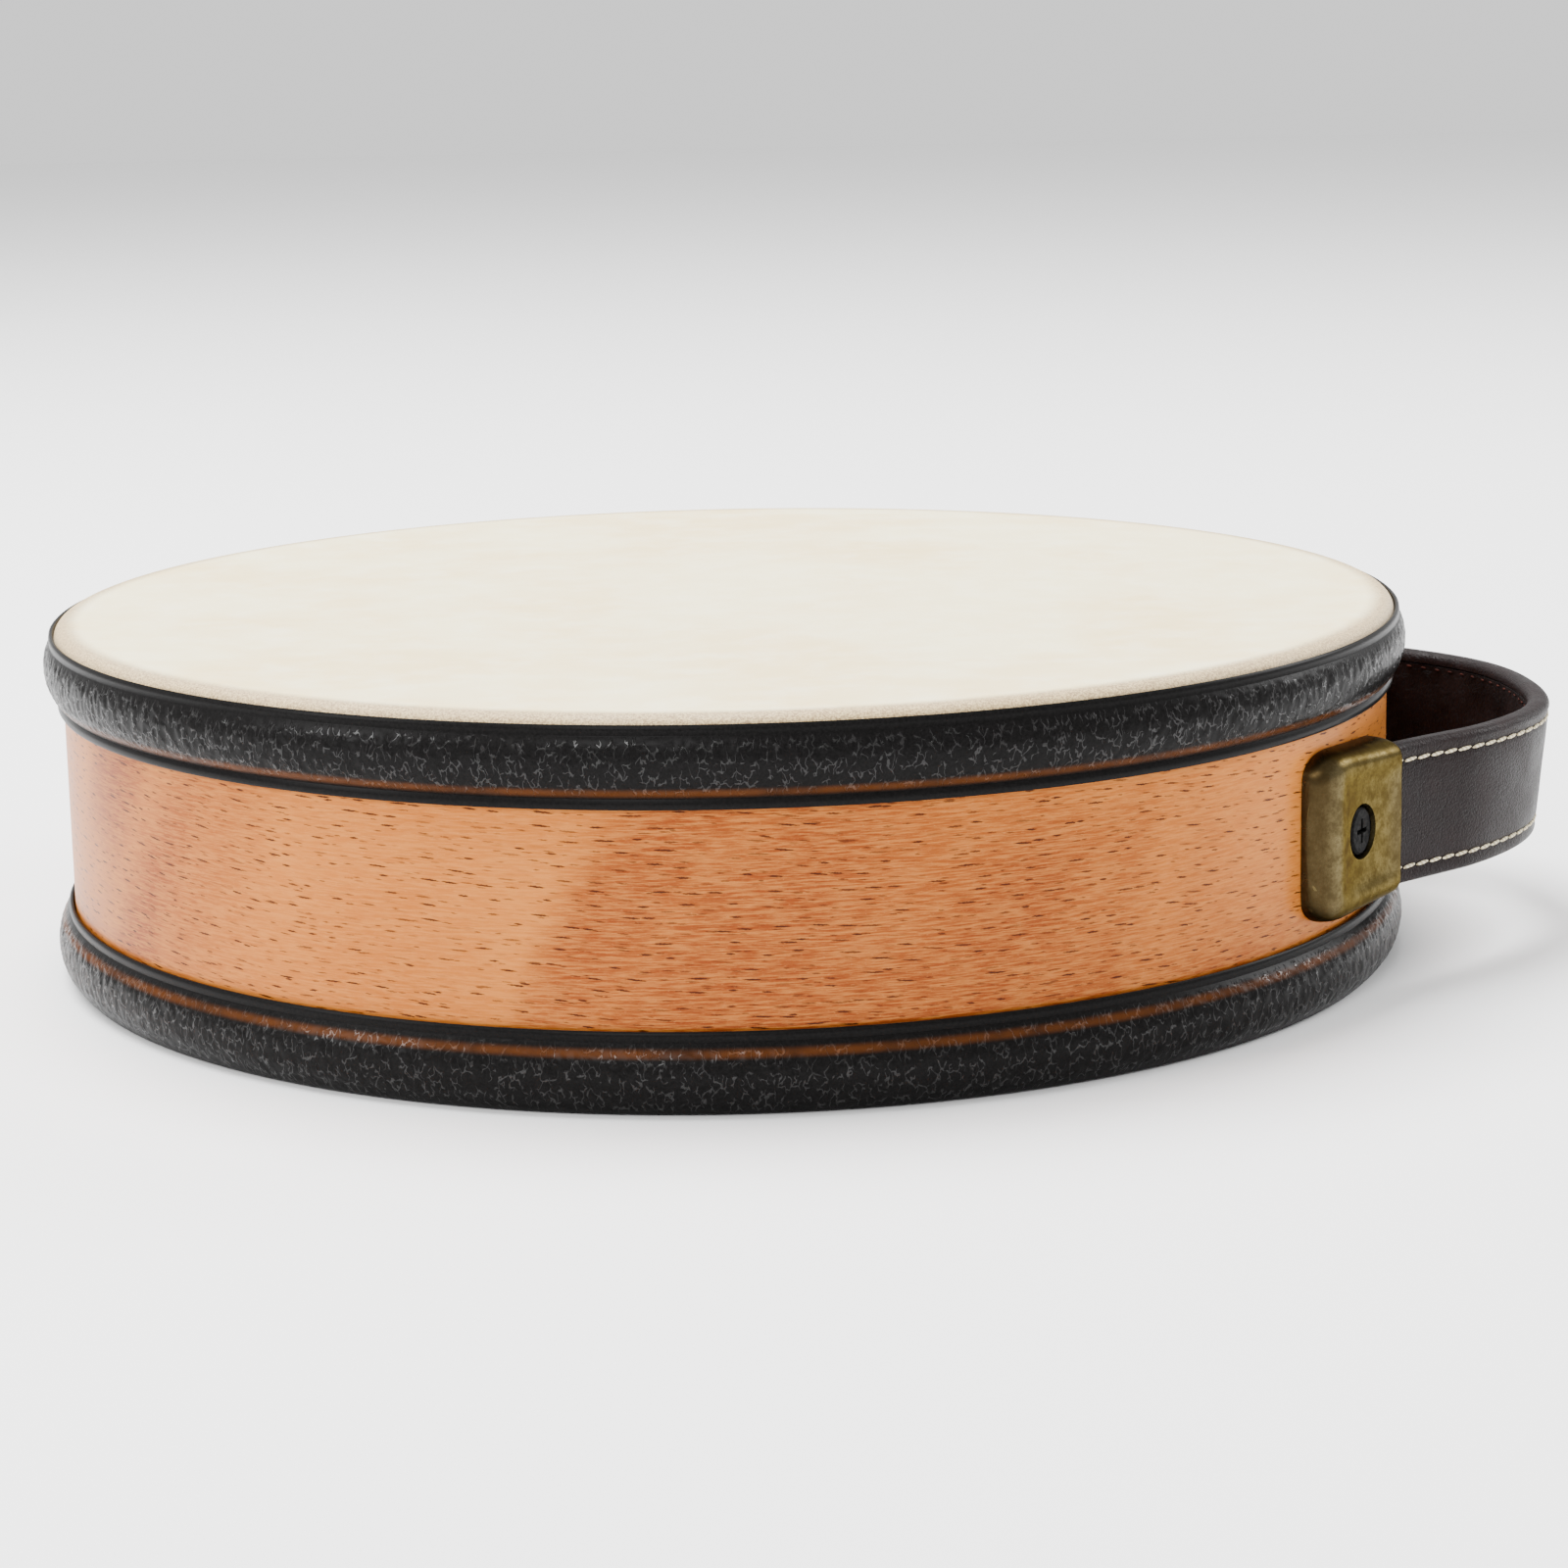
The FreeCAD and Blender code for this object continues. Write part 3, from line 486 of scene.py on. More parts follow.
def forking_lines(tree, places, spacing, width):
    """Thin worm-like lines that fork and stop short, like the walls of a net with most of it rubbed away."""
    wander_x = noise(tree, stretched(tree, places, (0.9, 0.6, 0.0)), 1.0, detail=1.5)
    wander_y = noise(tree, stretched(tree, places, (0.9, 0.6, 0.0), shift=(17, 5, 0)), 1.0, detail=1.5)
    wander = add_node(tree, "ShaderNodeCombineXYZ", X=math_node(tree, "MULTIPLY_ADD", wander_x, 2.2, -1.1),
                      Y=math_node(tree, "MULTIPLY_ADD", wander_y, 2.2, -1.1)).outputs[0]
    bent = add_node(tree, "ShaderNodeVectorMath", {"operation": "ADD"}, i0=places, i1=wander).outputs[0]
    cells = stretched(tree, bent, (1 / spacing[0], 1 / spacing[1], 0.0))
    net = add_node(tree, "ShaderNodeTexVoronoi", {"voronoi_dimensions": "2D", "feature": "DISTANCE_TO_EDGE"},
                   Vector=cells, Scale=1.0, Randomness=1.0)
    line = ramp(tree, net.outputs["Distance"], width / spacing[0], 0.02)
    kept = noise(tree, stretched(tree, places, (0.55, 0.42, 0.0), shift=(7, 3, 0)), 1.0, detail=1.0)
    return times(tree, line, ramp(tree, kept, 0.42, 0.54))


# Both bands share the crinkle. Its heights are in millimetres, as the places round the hoop are.
crinkle_group, crinkle_start, crinkle_end = new_group(
    "moulded_crinkle",
    [("Place", "NodeSocketVector", (0, 0, 0)), ("Low Edge", "NodeSocketFloat", 0.0),
     ("High Edge", "NodeSocketFloat", 10.0), ("Line Height", "NodeSocketFloat", 5.0)],
    [("Wrinkles", "NodeSocketFloat"), ("Inside", "NodeSocketFloat"), ("Rubbed", "NodeSocketFloat"),
     ("Pebbles", "NodeSocketFloat")])
wrinkle_spacing = (1.25, 2.3)
wrinkle_width = 0.16
edge_fade = 1.2
given = crinkle_start.outputs
where = object_places(crinkle_group)
height = add_node(crinkle_group, "ShaderNodeSeparateXYZ", Vector=given["Place"]).outputs[1]
lines = forking_lines(crinkle_group, given["Place"], wrinkle_spacing, wrinkle_width)
above = ramp(crinkle_group, height, given["Low Edge"],
             math_node(crinkle_group, "ADD", given["Low Edge"], edge_fade))
below = ramp(crinkle_group, height, given["High Edge"],
             math_node(crinkle_group, "SUBTRACT", given["High Edge"], edge_fade))
inside = times(crinkle_group, above, below)
off_line = math_node(crinkle_group, "SUBTRACT", height, given["Line Height"])
off_line = math_node(crinkle_group, "ABSOLUTE", off_line)
patchy = ramp(crinkle_group, noise(crinkle_group, where, 9 * MM, detail=3.0), 0.25, 0.6, 0.5, 1.0)
rubbed = times(crinkle_group, ramp(crinkle_group, off_line, 1.1, 0.1), patchy)
pebbles = noise(crinkle_group, where, 0.45 * MM, detail=3.0, roughness=0.6)
wrinkles = times(crinkle_group, lines, inside)
for label, result in (("Wrinkles", wrinkles), ("Inside", inside), ("Rubbed", rubbed), ("Pebbles", pebbles)):
    crinkle_group.links.new(result, crinkle_end.inputs[label])

black_low = (0.0035, 0.0033, 0.0032, 1)
black_high = (0.0065, 0.006, 0.006, 1)
rubbed_brown = (0.060, 0.019, 0.005, 1)
painted_glint_black = (0.022, 0.021, 0.020, 1)
painted_glint_brown = (0.16, 0.06, 0.018, 1)
wrinkle_depth = 0.16 * MM


def band_finish(name, line_height, low, high):
    """Crinkled black plastic between two heights, with the rubbed brown line at its own height."""
    material, tree, shader = new_finish(name)
    crinkled = add_node(tree, "ShaderNodeGroup", {"node_tree": crinkle_group}, Place=hoop_places(tree),
                        Low_Edge=low, High_Edge=high, Line_Height=line_height).outputs
    wrinkles, inside, pebbles = crinkled["Wrinkles"], crinkled["Inside"], crinkled["Pebbles"]
    black = mix_colours(tree, ramp(tree, pebbles, 0.3, 0.7), black_low, black_high)
    colour = mix_colours(tree, crinkled["Rubbed"], black, rubbed_brown)
    # painted highlight: the wrinkle lines are lightened, grey on the black and paler brown on the rubbed
    # line, for the glints along their ridges
    crest = mix_colours(tree, crinkled["Rubbed"], painted_glint_black, painted_glint_brown)
    colour = mix_colours(tree, times(tree, wrinkles, 0.3), colour, crest)
    gloss = math_node(tree, "MULTIPLY_ADD", inside, -0.04, 0.28)
    gloss = math_node(tree, "MULTIPLY_ADD", pebbles, 0.12, gloss)
    feed(tree, shader, Base_Color=colour, Roughness=gloss,
         Coat_Weight=ramp(tree, wrinkles, 0.3, 0.9, 0.0, 0.4))
    keep_even(shader, Coat_Roughness=0.2, Specular_IOR_Level=0.045)
    relief = math_node(tree, "MULTIPLY_ADD", times(tree, pebbles, inside), 0.05, wrinkles)
    roughen(tree, shader, 1.0, wrinkle_depth, relief)
    return material


for name, section, low, high, line, plain_low, plain_high, node in (
        ("upper_rim_band", upper_section, upper_foot + 2.0 * MM, upper_top - 1.7 * MM,
         upper_foot + 3.0 * MM, 1.4 * MM, 1.6 * MM, "upper_rim"),
        ("lower_rim_band", lower_section, 0.5 * MM, lower_top - 1.8 * MM,
         lower_top - 3.4 * MM, 2.0 * MM, 1.6 * MM, "lower_rim")):
    band = turned(name, section, rim_steps)
    crinkle(band, low, high, plain_low, plain_high)
    give_finish(band, band_finish(name + "_plastic", line / MM, low / MM, high / MM))
    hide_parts(node)
    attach(band, "drum")
bpy.data.objects.remove(tall_grid, do_unlink=True)


# ------------------------------------------------------------------ end caps
# Two die-cast caps clamp the strap's ends. Each is a pillow closed at its back, top and bottom, dished
# round the screw and open at the mouth, plated in antique brass, and held by one screw.
screw_low, screw_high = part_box("front_screw")
screw_middle = (screw_low + screw_high) / 2
handle_height = screw_middle.z
screw_bearing = math.atan2(-screw_middle.y, screw_middle.x)
cap_out = 6.3 * MM
cap_tilt = math.tan(math.radians(6))
cap_front = 13.6 * MM
cap_half = 15.5 * MM
cap_wall = 1.75 * MM
cap_sink = 1.5 * MM                # how far the blank reaches into the hoop before it is fitted to it
well_radius = 5 * MM
well_floor = 2.6 * MM
screw_hole = 2.2 * MM
slot_half = 13.15 * MM
slot_out = shell_radius + 2.35 * MM
slot_back = 8.2 * MM
mouth_step = 4.5 * MM
mouth_reach = 26 * MM
cutter_over = 8 * MM               # how far every cutter stands past what it cuts


def take_up(piece):
    """Only this piece is selected and in hand."""
    deselect_all()
    piece.select_set(True)
    bpy.context.view_layer.objects.active = piece


def first_point(name, place):
    """A new piece with one vertex at a place, in edit mode, for an outline drawn out of it."""
    deselect_all()
    bpy.ops.mesh.primitive_plane_add(size=MM, location=(0, 0, 0))
    piece = name_piece(name)
    bpy.ops.object.mode_set(mode="EDIT")
    bpy.ops.mesh.select_all(action="SELECT")
    bpy.ops.mesh.merge(type="CENTER")
    bpy.ops.transform.translate(value=place)
    return piece


def select_points(piece, wanted):
    """Selects the vertices whose place passes a test, and nothing else."""
    bpy.ops.mesh.select_mode(type="VERT")
    bpy.ops.mesh.select_all(action="DESELECT")
    work = bmesh.from_edit_mesh(piece.data)
    for vertex in work.verts:
        vertex.select_set(wanted(vertex.co))
    work.select_flush_mode()
    bmesh.update_edit_mesh(piece.data)


def face_out(along):
    """How far out the cap's tilted face is at a place along it."""
    return shell_radius + cap_out + along * cap_tilt


def cut_away(piece, cutter):
    """Takes the cutter's shape out of the piece, and the cutter away."""
    carve = piece.modifiers.new("cut", "BOOLEAN")
    carve.operation = "DIFFERENCE"
    carve.solver = "EXACT"
    carve.object = cutter
    bpy.context.view_layer.objects.active = piece
    bpy.ops.object.modifier_apply(modifier=carve.name)
    bpy.data.objects.remove(cutter, do_unlink=True)


def cap_blank():
    """The pillow: a section across it, drawn out from its back to its mouth, then smoothed."""
    base = shell_radius - cap_sink
    crest = face_out(0)
    # half of the section, from the foot up the side and over the edge into the dish: (out, half height)
    half = [
        (base, 1.0),
        (base + 0.30 * (crest - base), 1.0),
        (base + 0.62 * (crest - base), 0.985),
        (crest - 1.0 * MM, 0.93),
        (crest - 0.05 * MM, 0.83),
        (crest, 0.72),
        (crest - 0.1 * MM, 0.58),
        (crest, 0.28),
    ]
    section = [(out, -share) for out, share in half] + [(out, share) for out, share in reversed(half)]
    piece = first_point("front_end_cap", (section[0][0], 0, section[0][1] * cap_half))
    for before, after in zip(section, section[1:] + section[:1]):
        step = (after[0] - before[0], 0, (after[1] - before[1]) * cap_half)
        bpy.ops.mesh.extrude_region_move(TRANSFORM_OT_translate={"value": step})
    bpy.ops.mesh.select_all(action="SELECT")
    bpy.ops.mesh.remove_doubles(threshold=0.01 * MM)
    bpy.ops.mesh.edge_face_add()
    # stations: place along the cap, half height against the full one, height out against the face's
    stations = [
        (-13.0, 0.68, 0.34), (-12.6, 0.79, 0.55), (-11.5, 0.885, 0.80), (-10.0, 0.95, 0.97),
        (-8.3, 0.985, 1.03), (-5.8, 1.0, 1.01), (-1.0, 0.985, 1.0), (5.0, 0.965, 1.0), (10.5, 0.955, 1.0),
        (13.3, 0.95, 1.0), (13.6, 0.935, 0.985),
    ]
    placed, tall, high = 0.0, 1.0, 1.0
    for along, half_share, out_share in stations:
        place = along * MM
        if along > stations[0][0]:
            bpy.ops.mesh.extrude_region_move(TRANSFORM_OT_translate={"value": (0, place - placed, 0)})
        else:
            bpy.ops.transform.translate(value=(0, place, 0))
        slope = (face_out(place) - base) / (face_out(0) - base) * out_share
        bpy.ops.transform.resize(value=(slope / high, 1, half_share / tall),
                                 center_override=(base, place, 0))
        placed, tall, high = place, half_share, slope
    # the face is dished round the screw, inside the rounded edge and clear of the ridge at the back
    for from_along, inner_share, sink in ((-7.0, 0.66, 0.45), (-2.0, 0.66, 0.25), (-7.0, 0.45, 0.10)):
        select_points(piece, lambda co: co.x > base + 3 * MM and from_along * MM < co.y < 12 * MM
                      and abs(co.z) < cap_half * inner_share)
        bpy.ops.transform.translate(value=(-sink * MM, 0, 0))
    bpy.ops.mesh.select_all(action="SELECT")
    bpy.ops.mesh.normals_make_consistent(inside=False)
    bpy.ops.object.mode_set(mode="OBJECT")
    smooth = piece.modifiers.new("smooth", "SUBSURF")
    smooth.levels = 3
    smooth.boundary_smooth = "PRESERVE_CORNERS"
    bpy.ops.object.modifier_apply(modifier=smooth.name)
    return piece


def block_cutter(low, high):
    """A plain block to cut with, between two corners."""
    deselect_all()
    size = Vector(high) - Vector(low)
    middle = (Vector(low) + Vector(high)) / 2
    bpy.ops.mesh.primitive_cube_add(size=1, location=middle)
    cutter = bpy.context.object
    cutter.scale = size
    bpy.ops.object.transform_apply()
    return cutter


def drill_cutter(radius, start, end):
    """A round drill along X, between two distances from the drum's axis."""
    deselect_all()
    bpy.ops.mesh.primitive_cylinder_add(vertices=64, radius=radius, depth=end - start,
                                        location=((start + end) / 2, 0, 0), rotation=(0, math.pi / 2, 0))
    bpy.ops.object.transform_apply()
    return bpy.context.object


front_cap = cap_blank()
deselect_all()
hoop_face = shell_radius + 0.06 * MM
bpy.ops.mesh.primitive_cylinder_add(vertices=720, radius=hoop_face, depth=60 * MM, location=(0, 0, 0))
cut_away(front_cap, bpy.context.object)
under = shell_radius - cutter_over
cut_away(front_cap, block_cutter((under, -slot_back, -slot_half), (slot_out, 30 * MM, slot_half)))
mouth_roof = face_out(mouth_step) - cap_wall
mouth_block = block_cutter((under, mouth_step, -slot_half),
                           (mouth_roof, mouth_step + mouth_reach, slot_half))
bpy.ops.object.mode_set(mode="EDIT")
select_points(mouth_block, lambda co: co.x > shell_radius and co.y > cap_front)
bpy.ops.transform.translate(value=(mouth_reach * cap_tilt, 0, 0))
bpy.ops.object.mode_set(mode="OBJECT")
cut_away(front_cap, mouth_block)
past_face = face_out(0) + cutter_over
cut_away(front_cap, drill_cutter(well_radius, face_out(0) - well_floor, past_face))
cut_away(front_cap, drill_cutter(screw_hole, under, past_face))
take_up(front_cap)
bpy.ops.object.shade_smooth_by_angle(angle=math.radians(32))

rear_cap = front_cap.copy()
rear_cap.data = front_cap.data.copy()
rear_cap.name = "rear_end_cap"
rear_cap.data.name = "rear_end_cap"
bpy.context.collection.objects.link(rear_cap)
for cap, bearing in ((front_cap, -screw_bearing), (rear_cap, screw_bearing)):
    take_up(cap)
    if cap is rear_cap:
        cap.scale = (1, -1, 1)
        bpy.ops.object.transform_apply()
        bpy.ops.object.mode_set(mode="EDIT")
        bpy.ops.mesh.select_all(action="SELECT")
        bpy.ops.mesh.normals_make_consistent(inside=False)
        bpy.ops.object.mode_set(mode="OBJECT")
    cap.rotation_euler = (0, 0, bearing)
    cap.location = (0, 0, handle_height)
    bpy.ops.object.transform_apply()

dull_brass = (0.062, 0.047, 0.021, 1)
clear_brass = (0.112, 0.089, 0.043, 1)
tarnish_brown = (0.034, 0.024, 0.011, 1)
painted_shade_brown = (0.028, 0.017, 0.006, 1)
wear_and_highlight_brass = (0.22, 0.17, 0.065, 1)
edge_on_tint = (0.44, 0.40, 0.32, 1)
foot_high = (shell_radius + 6.1 * MM) / MM
foot_low = (shell_radius + 3.4 * MM) / MM
cast_depth = 0.05 * MM

antique, tree, shader = new_finish("antique_brass_plate")
where = object_places(tree)
tarnish = noise(tree, where, 5.0 * MM, detail=4.0, roughness=0.6)
speckle = noise(tree, where, 0.55 * MM, detail=3.0, roughness=0.75)
smear = noise(tree, where, 2.4 * MM, detail=3.0, roughness=0.6)
wear_and_highlight = ramp(tree, add_node(tree, "ShaderNodeNewGeometry").outputs["Pointiness"], 0.50, 0.58)
mottle = math_node(tree, "MULTIPLY_ADD", speckle, 0.45, times(tree, smear, 0.55))
metal = mix_colours(tree, ramp(tree, mottle, 0.38, 0.62), dull_brass, clear_brass)
metal = mix_colours(tree, ramp(tree, tarnish, 0.45, 0.7, 0.0, 0.4), metal, tarnish_brown)
out_mm = add_node(tree, "ShaderNodeSeparateXYZ", Vector=hoop_places(tree)).outputs[2]
# painted shade: low on its sides, where it meets the hoop, the cap turns a darker brown
painted_low_shade = ramp(tree, out_mm, foot_high, foot_low)
metal = mix_colours(tree, times(tree, painted_low_shade, 0.8), metal, painted_shade_brown)
# the sharp edges turn brighter brass: rubbed wear on the plating, and a painted highlight along the ridges
metal = mix_colours(tree, times(tree, wear_and_highlight, 0.2), metal, wear_and_highlight_brass)
feed(tree, shader, Base_Color=metal, Roughness=ramp(tree, mottle, 0.3, 0.7, 0.36, 0.26))
keep_even(shader, Metallic=0.9, Specular_Tint=edge_on_tint, Specular_IOR_Level=0.1)
roughen(tree, shader, 0.15, cast_depth, mottle)
for cap, node in ((front_cap, "front_bracket"), (rear_cap, "rear_bracket")):
    give_finish(cap, antique)
    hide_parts(node)
    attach(cap, "drum")


# ------------------------------------------------------------------ screws, washers and nuts
# Black cross-head machine screws go through cap, strap and hoop. Inside the drum each has a plain
# zinc-plated washer and a hexagon nut.
def dress(names, material):
    """The carried-over metal pieces take a finish, their shape as it is."""
    for name in names:
        for place_for_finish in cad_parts[name].material_slots:
            place_for_finish.material = material


oxide_black = (0.004, 0.004, 0.004, 1)
oxide_grey = (0.012, 0.0115, 0.011, 1)
zinc_dull = (0.55, 0.55, 0.53, 1)
zinc_bright = (0.74, 0.74, 0.72, 1)
oxide_depth = 0.03 * MM
scratch_depth = 0.02 * MM

blacked, tree, shader = new_finish("blacked_steel")
where = object_places(tree)
oxide = noise(tree, where, 0.8 * MM, detail=4.0, roughness=0.7)
black = mix_colours(tree, ramp(tree, oxide, 0.35, 0.7), oxide_black, oxide_grey)
feed(tree, shader, Base_Color=black, Roughness=ramp(tree, oxide, 0.3, 0.7, 0.70, 0.55))
keep_even(shader, Specular_IOR_Level=0.03)
roughen(tree, shader, 0.3, oxide_depth, oxide)
dress(("front_screw", "rear_screw"), blacked)

zinc, tree, shader = new_finish("zinc_plate")
where = object_places(tree)
bloom = noise(tree, where, 1.5 * MM, detail=3.0, roughness=0.6)
scratch = noise(tree, stretched(tree, where, (6, 1, 1)), 0.6 * MM, detail=3.0)
plate = mix_colours(tree, ramp(tree, bloom, 0.3, 0.7), zinc_dull, zinc_bright)
feed(tree, shader, Base_Color=plate, Roughness=ramp(tree, scratch, 0.3, 0.7, 0.28, 0.44))
keep_even(shader, Metallic=1.0)
roughen(tree, shader, 0.2, scratch_depth, scratch)
dress(("front_washer", "rear_washer", "front_nut", "rear_nut"), zinc)


# ------------------------------------------------------------------ strap
# The handle is a stitched strap: dark brown grained leather wrapped round a fibre core, on a backing
# strip of smooth leather that runs on under both end caps. It is made flat, stitched, and bent round.
strap_wide = 26 * MM
strap_thick = 4.3 * MM
backing_thick = 1.9 * MM
tab_reach = 8 * MM
tab_middle = shell_radius + 0.2 * MM + strap_thick / 2
mouth_bend = 10 * MM               # along the tab, from the screw to where the strap turns away
bend_round_off = 3.2 * MM
apex_out = 29.1 * MM
apex_lean = math.radians(6)
lean_reach = 29.5 * MM             # how far out the strap has its whole lean

outward = Vector((math.cos(screw_bearing), -math.sin(screw_bearing), 0))
onward = Vector((math.sin(screw_bearing), math.cos(screw_bearing), 0))
bend_place = outward * tab_middle + onward * mouth_bend
flank = Vector((shell_radius + 10.8 * MM, -43.6 * MM, 0))
route = [
    outward * tab_middle - onward * tab_reach,
    outward * tab_middle + onward * 2 * MM,
    bend_place - onward * bend_round_off,
    bend_place + (flank - bend_place).normalized() * bend_round_off,
    bend_place.lerp(flank, 0.55),
    flank + Vector((0.3 * MM, -0.4 * MM, 0)),
    Vector((shell_radius + 23.9 * MM, -27.9 * MM, 0)),
    Vector((shell_radius + apex_out, -11.6 * MM, 0)),
]
route += [Vector((point.x, -point.y, 0)) for point in reversed(route)]

line = bpy.data.curves.new("strap_route", "CURVE")
line.dimensions = "3D"
line.twist_mode = "Z_UP"
line.resolution_u = 32
spline = line.splines.new("NURBS")
spline.points.add(len(route) - 1)
for point, at in zip(spline.points, route):
    point.co = (at.x, at.y, handle_height, 1)
    reach = max(0.0, (at.x - shell_radius) / lean_reach)
    point.tilt = apex_lean * reach
spline.order_u = 3
spline.use_endpoint_u = True
strap_route = bpy.data.objects.new("strap_route", line)
bpy.context.collection.objects.link(strap_route)
bpy.context.view_layer.update()
walk = bpy.data.meshes.new_from_object(strap_route.evaluated_get(bpy.context.evaluated_depsgraph_get()))
strap_length = sum((walk.vertices[b].co - walk.vertices[a].co).length
                   for a, b in (tuple(edge.vertices) for edge in walk.edges))
bpy.data.meshes.remove(walk)
tail_inside = 14.6 * MM            # from the tab's end to where leather and core begin, inside the mouth


def strip_from(piece, start, end, cuts):
    """The section in hand, drawn at X = 0, is pulled out into a strip and cut into lengths."""
    bpy.ops.mesh.select_all(action="SELECT")
    bpy.ops.mesh.edge_face_add()
    bpy.ops.mesh.extrude_region_move(TRANSFORM_OT_translate={"value": (end - start, 0, 0)})
    bpy.ops.mesh.select_mode(type="EDGE")
    bpy.ops.mesh.select_all(action="DESELECT")
    work = bmesh.from_edit_mesh(piece.data)
    for edge in work.edges:
        edge.select_set(abs(edge.verts[0].co.x - edge.verts[1].co.x) > (end - start) / 2)
    work.select_flush_mode()
    bmesh.update_edit_mesh(piece.data)
    bpy.ops.mesh.subdivide(number_cuts=cuts)
    bpy.ops.mesh.select_mode(type="VERT")
    bpy.ops.mesh.select_all(action="SELECT")
    bpy.ops.transform.translate(value=(start, 0, 0))
    bpy.ops.mesh.normals_make_consistent(inside=False)
    bpy.ops.object.mode_set(mode="OBJECT")


def draw_across(name, points):
    """A closed outline of (thickness, width) points across the flat strap, extruded point by point."""
    piece = first_point(name, (0, -points[0][0], points[0][1]))
    for before, after in zip(points, points[1:] + points[:1]):
        step = (0, before[0] - after[0], after[1] - before[1])
        bpy.ops.mesh.extrude_region_move(TRANSFORM_OT_translate={"value": step})
    bpy.ops.mesh.select_all(action="SELECT")
    bpy.ops.mesh.remove_doubles(threshold=weld_reach)
    return piece


def bend_round(piece):
    """The flat piece follows the strap's route."""
    take_up(piece)
    follow = piece.modifiers.new("route", "CURVE")
    follow.object = strap_route
    follow.deform_axis = "POS_X"
    bpy.ops.object.modifier_apply(modifier=follow.name)
    bpy.ops.object.shade_smooth_by_angle(angle=math.radians(50))


half_thick = strap_thick / 2
half_wide = strap_wide / 2
stitch_level = half_wide - 3.15 * MM
fold_turn = 2.2 * MM               # how far the wrapped leather comes in over the backing's edge
outer_round = 1.35 * MM
inner_round = 1.75 * MM
fold_floor = half_thick - 1.2 * MM

# Across the strap, positive is the outer face. The edges are wrapped round, and each stitch row lies in
# a crease.
wrap = []
for side in (1, -1):
    edge_round = round_corner((half_thick - outer_round, half_wide - outer_round), outer_round, 0, 90, 5)
    edge_round += round_corner((-half_thick + inner_round, half_wide - inner_round), inner_round, 90, 180, 6)
    profile = [
        (half_thick - 0.05 * MM, 0.0),
        (half_thick, stitch_level * 0.5),
        (half_thick - 0.02 * MM, stitch_level - 1.1 * MM),
        (half_thick - 0.16 * MM, stitch_level - 0.55 * MM),
        (half_thick - 0.42 * MM, stitch_level),
        (half_thick - 0.20 * MM, stitch_level + 0.6 * MM),
    ] + edge_round + [
        (-half_thick, half_wide - fold_turn),
        (-half_thick + 0.75 * MM, half_wide - fold_turn - 0.1 * MM),
        (fold_floor, half_wide - fold_turn),
        (fold_floor, 0.0),
    ]
    if side > 0:
        wrap = profile[:-1]
    else:
        wrap += [(point[0], -point[1]) for point in reversed(profile[1:-1])]
leather_strip = draw_across("strap_leather", wrap)
strip_from(leather_strip, tail_inside, strap_length - tail_inside, 190)

core_half = half_wide - 2.6 * MM
core_face = half_thick - 1.25 * MM
core_back = -half_thick + backing_thick + 0.05 * MM
core_strip = draw_across("strap_core", [
    (core_face, core_half),
    (core_back, core_half),
    (core_back, -core_half),
    (core_face, -core_half),
])
strip_from(core_strip, tail_inside, strap_length - tail_inside, 150)

lining_half = half_wide - fold_turn - 0.15 * MM
lining_back = -half_thick + 0.12 * MM
lining_face = -half_thick + backing_thick
lining_round = 0.3 * MM
lining_end = 0.2 * MM
lining = rounded_box((lining_back, -lining_half), (lining_face, lining_half), lining_round, 180)
lining_strip = draw_across("strap_backing", lining)
strip_from(lining_strip, lining_end, strap_length - lining_end, 210)

for strip in (leather_strip, core_strip, lining_strip):
    bend_round(strip)

# the leather's grain and its creases, shared by the outer leather and the backing
grain_group, grain_start, grain_end = new_group(
    "leather_grain",
    [("Pebble Size", "NodeSocketFloat", 0.001), ("Crease Depth", "NodeSocketFloat", 0.5)],
    [("Height", "NodeSocketFloat"), ("Creases", "NodeSocketFloat")])
where = object_places(grain_group)
scale = math_node(grain_group, "DIVIDE", 1.0, grain_start.outputs["Pebble Size"])
pebbles = add_node(grain_group, "ShaderNodeTexVoronoi", {"feature": "F1"}, Vector=where, Scale=scale,
                   Randomness=1.0)
crease = noise(grain_group, where, 2.6 * MM, detail=4.0, distortion=0.8)
off_crease = math_node(grain_group, "ABSOLUTE", math_node(grain_group, "SUBTRACT", crease, 0.5))
crease_line = ramp(grain_group, off_crease, 0.0, 0.035)
pebble_height = times(grain_group, pebbles.outputs["Distance"], -0.6)
deep = times(grain_group, crease_line, grain_start.outputs["Crease Depth"])
grain_group.links.new(math_node(grain_group, "ADD", pebble_height, deep), grain_end.inputs["Height"])
grain_group.links.new(math_node(grain_group, "SUBTRACT", 1.0, crease_line), grain_end.inputs["Creases"])

grain_relief = 0.16 * MM


def leather_finish(name, dark, light, pebble, crease_depth, rough_low, rough_high):
    """Dyed leather: two shades of one brown, its grain, and a waxed surface."""
    material, tree, shader = new_finish(name)
    where = object_places(tree)
    grain = add_node(tree, "ShaderNodeGroup", {"node_tree": grain_group}, Pebble_Size=pebble,
                     Crease_Depth=crease_depth)
    dye = noise(tree, where, 7 * MM, detail=4.0)
    colour = mix_colours(tree, ramp(tree, dye, 0.3, 0.7), dark, light)
    # the colour is darker along the crease lines of the grain
    pores = times(tree, grain.outputs["Creases"], 0.4)
    colour = mix_colours(tree, pores, colour, (dark[0] * 0.4, dark[1] * 0.4, dark[2] * 0.4, 1))
    feed(tree, shader, Base_Color=colour, Roughness=ramp(tree, dye, 0.3, 0.7, rough_low, rough_high))
    roughen(tree, shader, 0.9, grain_relief, grain.outputs["Height"])
    keep_even(shader, Specular_IOR_Level=0.08)
    return material


